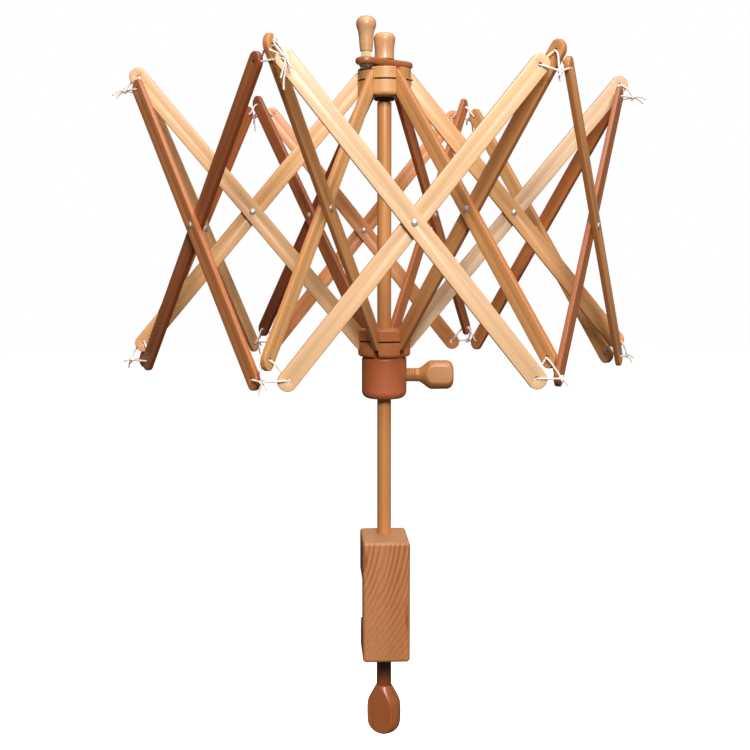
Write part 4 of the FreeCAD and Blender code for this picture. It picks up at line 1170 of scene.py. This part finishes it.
@dataclass
class Crank:
    """The crank arm, its bolt and nut, and the turned handle."""

    turn: float = 218.5
    offset: float = 25.3 * MM
    # Share of the handle's height, and its radius there in millimetres
    grip_mm: tuple[Pair, ...] = (
        (0.0, 5.9), (0.015, 6.4), (0.1, 6.7), (0.2, 7.1), (0.34, 7.45), (0.47, 7.9), (0.57, 8.6),
        (0.65, 9.5), (0.72, 10.25), (0.79, 10.4), (0.85, 10.0), (0.905, 8.9), (0.95, 7.2), (0.98, 5.2),
        (0.995, 3.0), (1.0, 0.5))

    @property
    def axis(self) -> Vector:
        """Where the handle's axis stands."""
        return heading(self.turn) * self.offset

    def move(self, piece: Thing) -> Thing:
        """Put a piece that was made on the rod's axis on the handle's axis."""
        piece.data.transform(Matrix.Translation(self.axis))
        return piece

    def place(self) -> None:
        """Dress the arm and the upper hub, and make the bolt, nut and handle."""
        keep("crank_arm", CRANK)
        keep("upper_hub", HUB)
        self.bolt()
        self.nut()
        self.handle()

    def bolt(self) -> None:
        """Turn the bolt, with its domed head below the arm."""
        low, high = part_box("handle_bolt")
        head, rise, shank = 7.2 * MM, 5.2 * MM, 2.5 * MM
        dome = [(head * math.sin(turn), low.z + rise * 0.92 * (1 - math.cos(turn)))
                for turn in quarter(10)]
        profile = [*dome, (head, low.z + rise), (shank, low.z + rise), (shank, high.z)]
        wear(self.move(lathe("handle_bolt_steel", profile, 56)), BOLT, "umbrella", "handle_bolt")

    def nut(self) -> None:
        """Make the hexagonal nut with its corners turned off."""
        low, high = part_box("handle_nut")
        flats, bevel = 5.3 * MM, 0.75 * MM
        tall = high.z - low.z
        draft = Draft()
        rows = []
        corners = flats * 1.17
        for height, limit in ((0, flats), (bevel, corners), (tall - bevel, corners), (tall, flats)):
            row = []
            for index in range(72):
                angle = 2 * math.pi * index / 72
                flat = flats / math.cos((angle + math.pi / 6) % (math.pi / 3) - math.pi / 6)
                reach = min(flat, limit)
                row.append(Vector((reach * math.cos(angle), reach * math.sin(angle), low.z + height)))
            rows.append(row)
        draft.tube(rows)
        wear(self.move(draft.finish("handle_nut_brass", 25)), NUT, "umbrella", "handle_nut")

    def handle(self) -> None:
        """Turn the handle: a slim foot that swells to a round head."""
        low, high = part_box("crank_handle")
        tall = high.z - low.z
        side = [(radius * MM, low.z + tall * share) for share, radius in through(self.grip_mm, 4)]
        wear(self.move(lathe("crank_handle_wood", side, 72)), GRIP, "crank_handle", "crank_handle")


@dataclass
class Screws:
    """The clamp screw with its egg of a knob, and the collar's thumbscrew with its paddle."""

    knob_turn: float = math.radians(-37.5)
    # Height above the knob's tip, and its radius there, in millimetres
    knob_mm: tuple[Pair, ...] = (
        (0.0, 0.03), (0.25, 2.4), (1.1, 5.4), (2.8, 9.2), (5.2, 12.9), (8.6, 15.9), (13, 17.6),
        (20, 18.3), (28, 18.4), (35, 18.1), (39.5, 17.2), (43.5, 15.4), (47.5, 13.2), (51.5, 11.0),
        (54.6, 9.3), (56, 8.6))
    knob_half: float = 10 * MM
    paddle_half: float = 12.2 * MM
    paddle_turn: float = math.radians(-7)

    def place(self) -> None:
        """Make both screws."""
        keep("lower_hub", SHADED_LOW_HUB)
        keep("collar", COLLAR)
        keep("collar_shoe", LEATHER)
        self.clamp_screw()
        self.thumbscrew()

    @staticmethod
    def thread(radius: float, depth: float, pitch: float, start: float, end: float,
               around: int) -> list[list[Vector]]:
        """Rows of a rounded thread along Z.

        Args:
            radius: Over the thread's crests.
            depth: Crest to root.
            pitch: Crest to crest.
            start: Where the thread starts.
            end: Where it runs out.
            around: Points round the axis.

        Returns:
            The rows, from start to end.
        """
        rows = []
        count = max(8, round((end - start) / pitch * 10))
        for index in range(count + 1):
            height = start + (end - start) * index / count
            fade = min(1, index / 6, (count - index) / 6)
            row = []
            for place in range(around):
                turn = 2 * math.pi * place / around
                wave = 0.5 - 0.5 * math.cos(2 * math.pi * height / pitch - turn)
                reach = radius - depth * fade * wave ** 1.3
                row.append(Vector((reach * math.cos(turn), reach * math.sin(turn), height)))
            rows.append(row)
        return rows

    def clamp_screw(self) -> None:
        """Turn the clamp screw: thread, bare neck and a flattened egg of a knob."""
        low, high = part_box("clamp_screw")
        radius, tall = 8 * MM, self.knob_mm[-1][0] * MM
        planed = flatten_sides(self.knob_half, self.knob_turn)
        around = 96
        rows = [(max(r, 0.03) * MM, low.z + z * MM) for z, r in through(self.knob_mm, 3)]
        knob = [[planed(point) for point in ring_points(r, z, around)] for r, z in rows]
        shoulder = low.z + tall
        knob += [ring_points(radius, shoulder + 0.3 * MM, around)]
        block_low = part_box("clamp_block")[0].z
        thread = self.thread(radius, 0.9 * MM, 4 * MM, block_low - 4 * MM, high.z - 0.8 * MM, around)
        tip = [ring_points(radius - 1 * MM, high.z, around)]
        draft = Draft()
        draft.tube([*knob, *thread, *tip])
        thing = draft.finish("clamp_screw_wood", 40)
        # Painted shadow of the clamp block on the screw: darkest up under the block, less and less towards
        # the knob
        block_shadow = thing.data.attributes.new("block_shadow", "FLOAT", "POINT")
        block_shadow.data.foreach_set("value", [
            min(1.0, 0.5 + (v.co.z - shoulder) / (22 * MM)) * (v.co.z > shoulder + 0.1 * MM)
            for v in thing.data.vertices])
        wear(thing, KNOB, "clamp_screw", "clamp_screw")

    def thumbscrew(self) -> None:
        """Turn the thumbscrew along X: thread, glossy neck and flattened paddle."""
        low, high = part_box("collar_screw")
        radius, full, end_half = 7.5 * MM, 15.5 * MM, 8.5 * MM
        length = high.x - low.x
        collar_radius, bare_neck = 24 * MM, 12 * MM
        bare = collar_radius + bare_neck - low.x
        around = 96
        planed = flatten_sides(self.paddle_half, self.paddle_turn, 0.9 * MM)
        rows = [ring_points(radius - 0.8 * MM, 0, around)]
        rows += self.thread(radius, 0.8 * MM, 3 * MM, 0.6 * MM, bare - 1.5 * MM, around)
        flare, straight = 14 * MM, 17 * MM
        neck = [(radius - 0.25 * MM, bare - 0.6 * MM)]
        neck += [(radius - 0.3 * MM + (full - radius + 0.3 * MM) * (0.25 * s ** 2 + 0.75 * smooth(s)),
                  bare + flare * s) for s in (step / 12 for step in range(13))]
        neck += [(full, bare + flare + straight * share) for share in (0.33, 0.66, 0.9)]
        start = bare + flare + straight
        neck += [(end_half + (full - end_half) * math.cos(turn), start + (length - start) * math.sin(turn))
                 for turn in quarter(10)]
        rows += [[planed(point) for point in ring_points(r, z, around)] for r, z in neck]
        draft = Draft()
        draft.tube(rows)
        thing = draft.finish("collar_screw_wood", 40)
        height = (low.z + high.z) / 2
        thing.data.transform(Matrix.Translation((low.x, 0, height)) @ Matrix.Rotation(math.pi / 2, 4, "Y"))
        wear(thing, PADDLE, "collar_screw", "collar_screw")


@dataclass
class Studio:
    """A pale floor far below, soft light from above and from beside the camera, and the camera."""

    eye: Vector = field(default_factory=lambda: Vector((-0.0800, -1.3079, 0.35206)))
    look: Vector = field(default_factory=lambda: Vector((0.05328, 0.99329, -0.10262)))
    lens: float = 58.88
    floor_drop: float = 0.75

    def place(self) -> None:
        """Set floor, lights, surroundings and camera."""
        self.floor()
        self.lamp("key", Vector((0.12, -1.85, 1.25)), Vector((0, 0, 0.35)), 0.6, 43.5)
        self.lamp("overhead", Vector((0.3, -0.3, 2.6)), Vector((0, 0, 0)), 1.8, 46)
        # The rear light would glare off the block's top, so it shows in no reflection
        self.lamp("rear", Vector((0.2, 2.1, 0.8)), Vector((0, 0, 0.25)), 1.0, 36).visible_glossy = False
        self.surroundings()
        data = bpy.data.cameras.new("camera")
        data.lens = self.lens
        data.sensor_width = 36
        data.clip_start, data.clip_end = 0.05, 60
        camera = show("camera", data)
        camera.location = self.eye
        camera.rotation_mode = "QUATERNION"
        camera.rotation_quaternion = self.look.to_track_quat("-Z", "Y")
        bpy.context.scene.camera = camera

    def floor(self) -> None:
        """Lay the floor."""
        low, _ = CAD_BOX
        draft = Draft()
        size = 14
        corners = [Vector((x, y, low.z - self.floor_drop))
                   for x, y in ((-size, -size), (size, -size), (size, size), (-size, size))]
        draft.mesh.faces.new(draft.row(corners))
        floor = draft.finish("floor")
        material, _, shader = blank("white_studio_floor")
        shader.inputs["Base Color"].default_value = linear("#FAFAFA")
        shader.inputs["Roughness"].default_value = 0.95
        shader.inputs["Emission Color"].default_value = (1, 1, 1, 1)
        shader.inputs["Emission Strength"].default_value = 1.0
        floor.data.materials.append(material)
        floor.visible_diffuse = False
        floor.visible_glossy = False

    @staticmethod
    def lamp(name: str, spot: Vector, target: Vector, size: float, power: float) -> Thing:
        """Hang one soft square light.

        Args:
            name: The light's name.
            spot: Where it hangs.
            target: What it points at.
            size: Its side.
            power: Its power in watts.

        Returns:
            The light.
        """
        data = bpy.data.lights.new(name, "AREA")
        data.shape = "SQUARE"
        data.size = size
        data.energy = power
        light = show(name, data)
        light.location = spot
        light.rotation_mode = "QUATERNION"
        light.rotation_quaternion = (target - spot).to_track_quat("-Z", "Y")
        return light

    @staticmethod
    def surroundings() -> None:
        """Make the surroundings white to look at, and dim as a light."""
        world = bpy.data.worlds.new("studio")
        bpy.context.scene.world = world
        world.use_nodes = True
        tree = world.node_tree
        shown = tree.nodes["Background"]
        shown.inputs["Color"].default_value = (1, 1, 1, 1)
        shown.inputs["Strength"].default_value = 1.0
        dim = add(tree, "ShaderNodeBackground", None, {"Color": (1, 0.93, 0.85, 1), "Strength": 0.1})
        ray = add(tree, "ShaderNodeLightPath")
        both = add(tree, "ShaderNodeMixShader", None,
                   {0: ray.outputs["Is Camera Ray"], 1: dim.outputs[0], 2: shown.outputs[0]})
        tree.links.new(both.outputs[0], tree.nodes["World Output"].inputs["Surface"])


def main() -> None:
    """Build every sub-assembly in order."""
    logging.basicConfig(level=logging.INFO, format="%(name)s: %(message)s")
    bpy.context.scene.view_settings.view_transform = "Standard"
    opening = Opening()
    for part in (Stand(), Crank(), Screws(), HubWires(opening), Slats(opening), Ties(opening), Studio()):
        log.info("making %s", type(part).__name__)
        part.place()


if __name__ == "__main__":
    main()
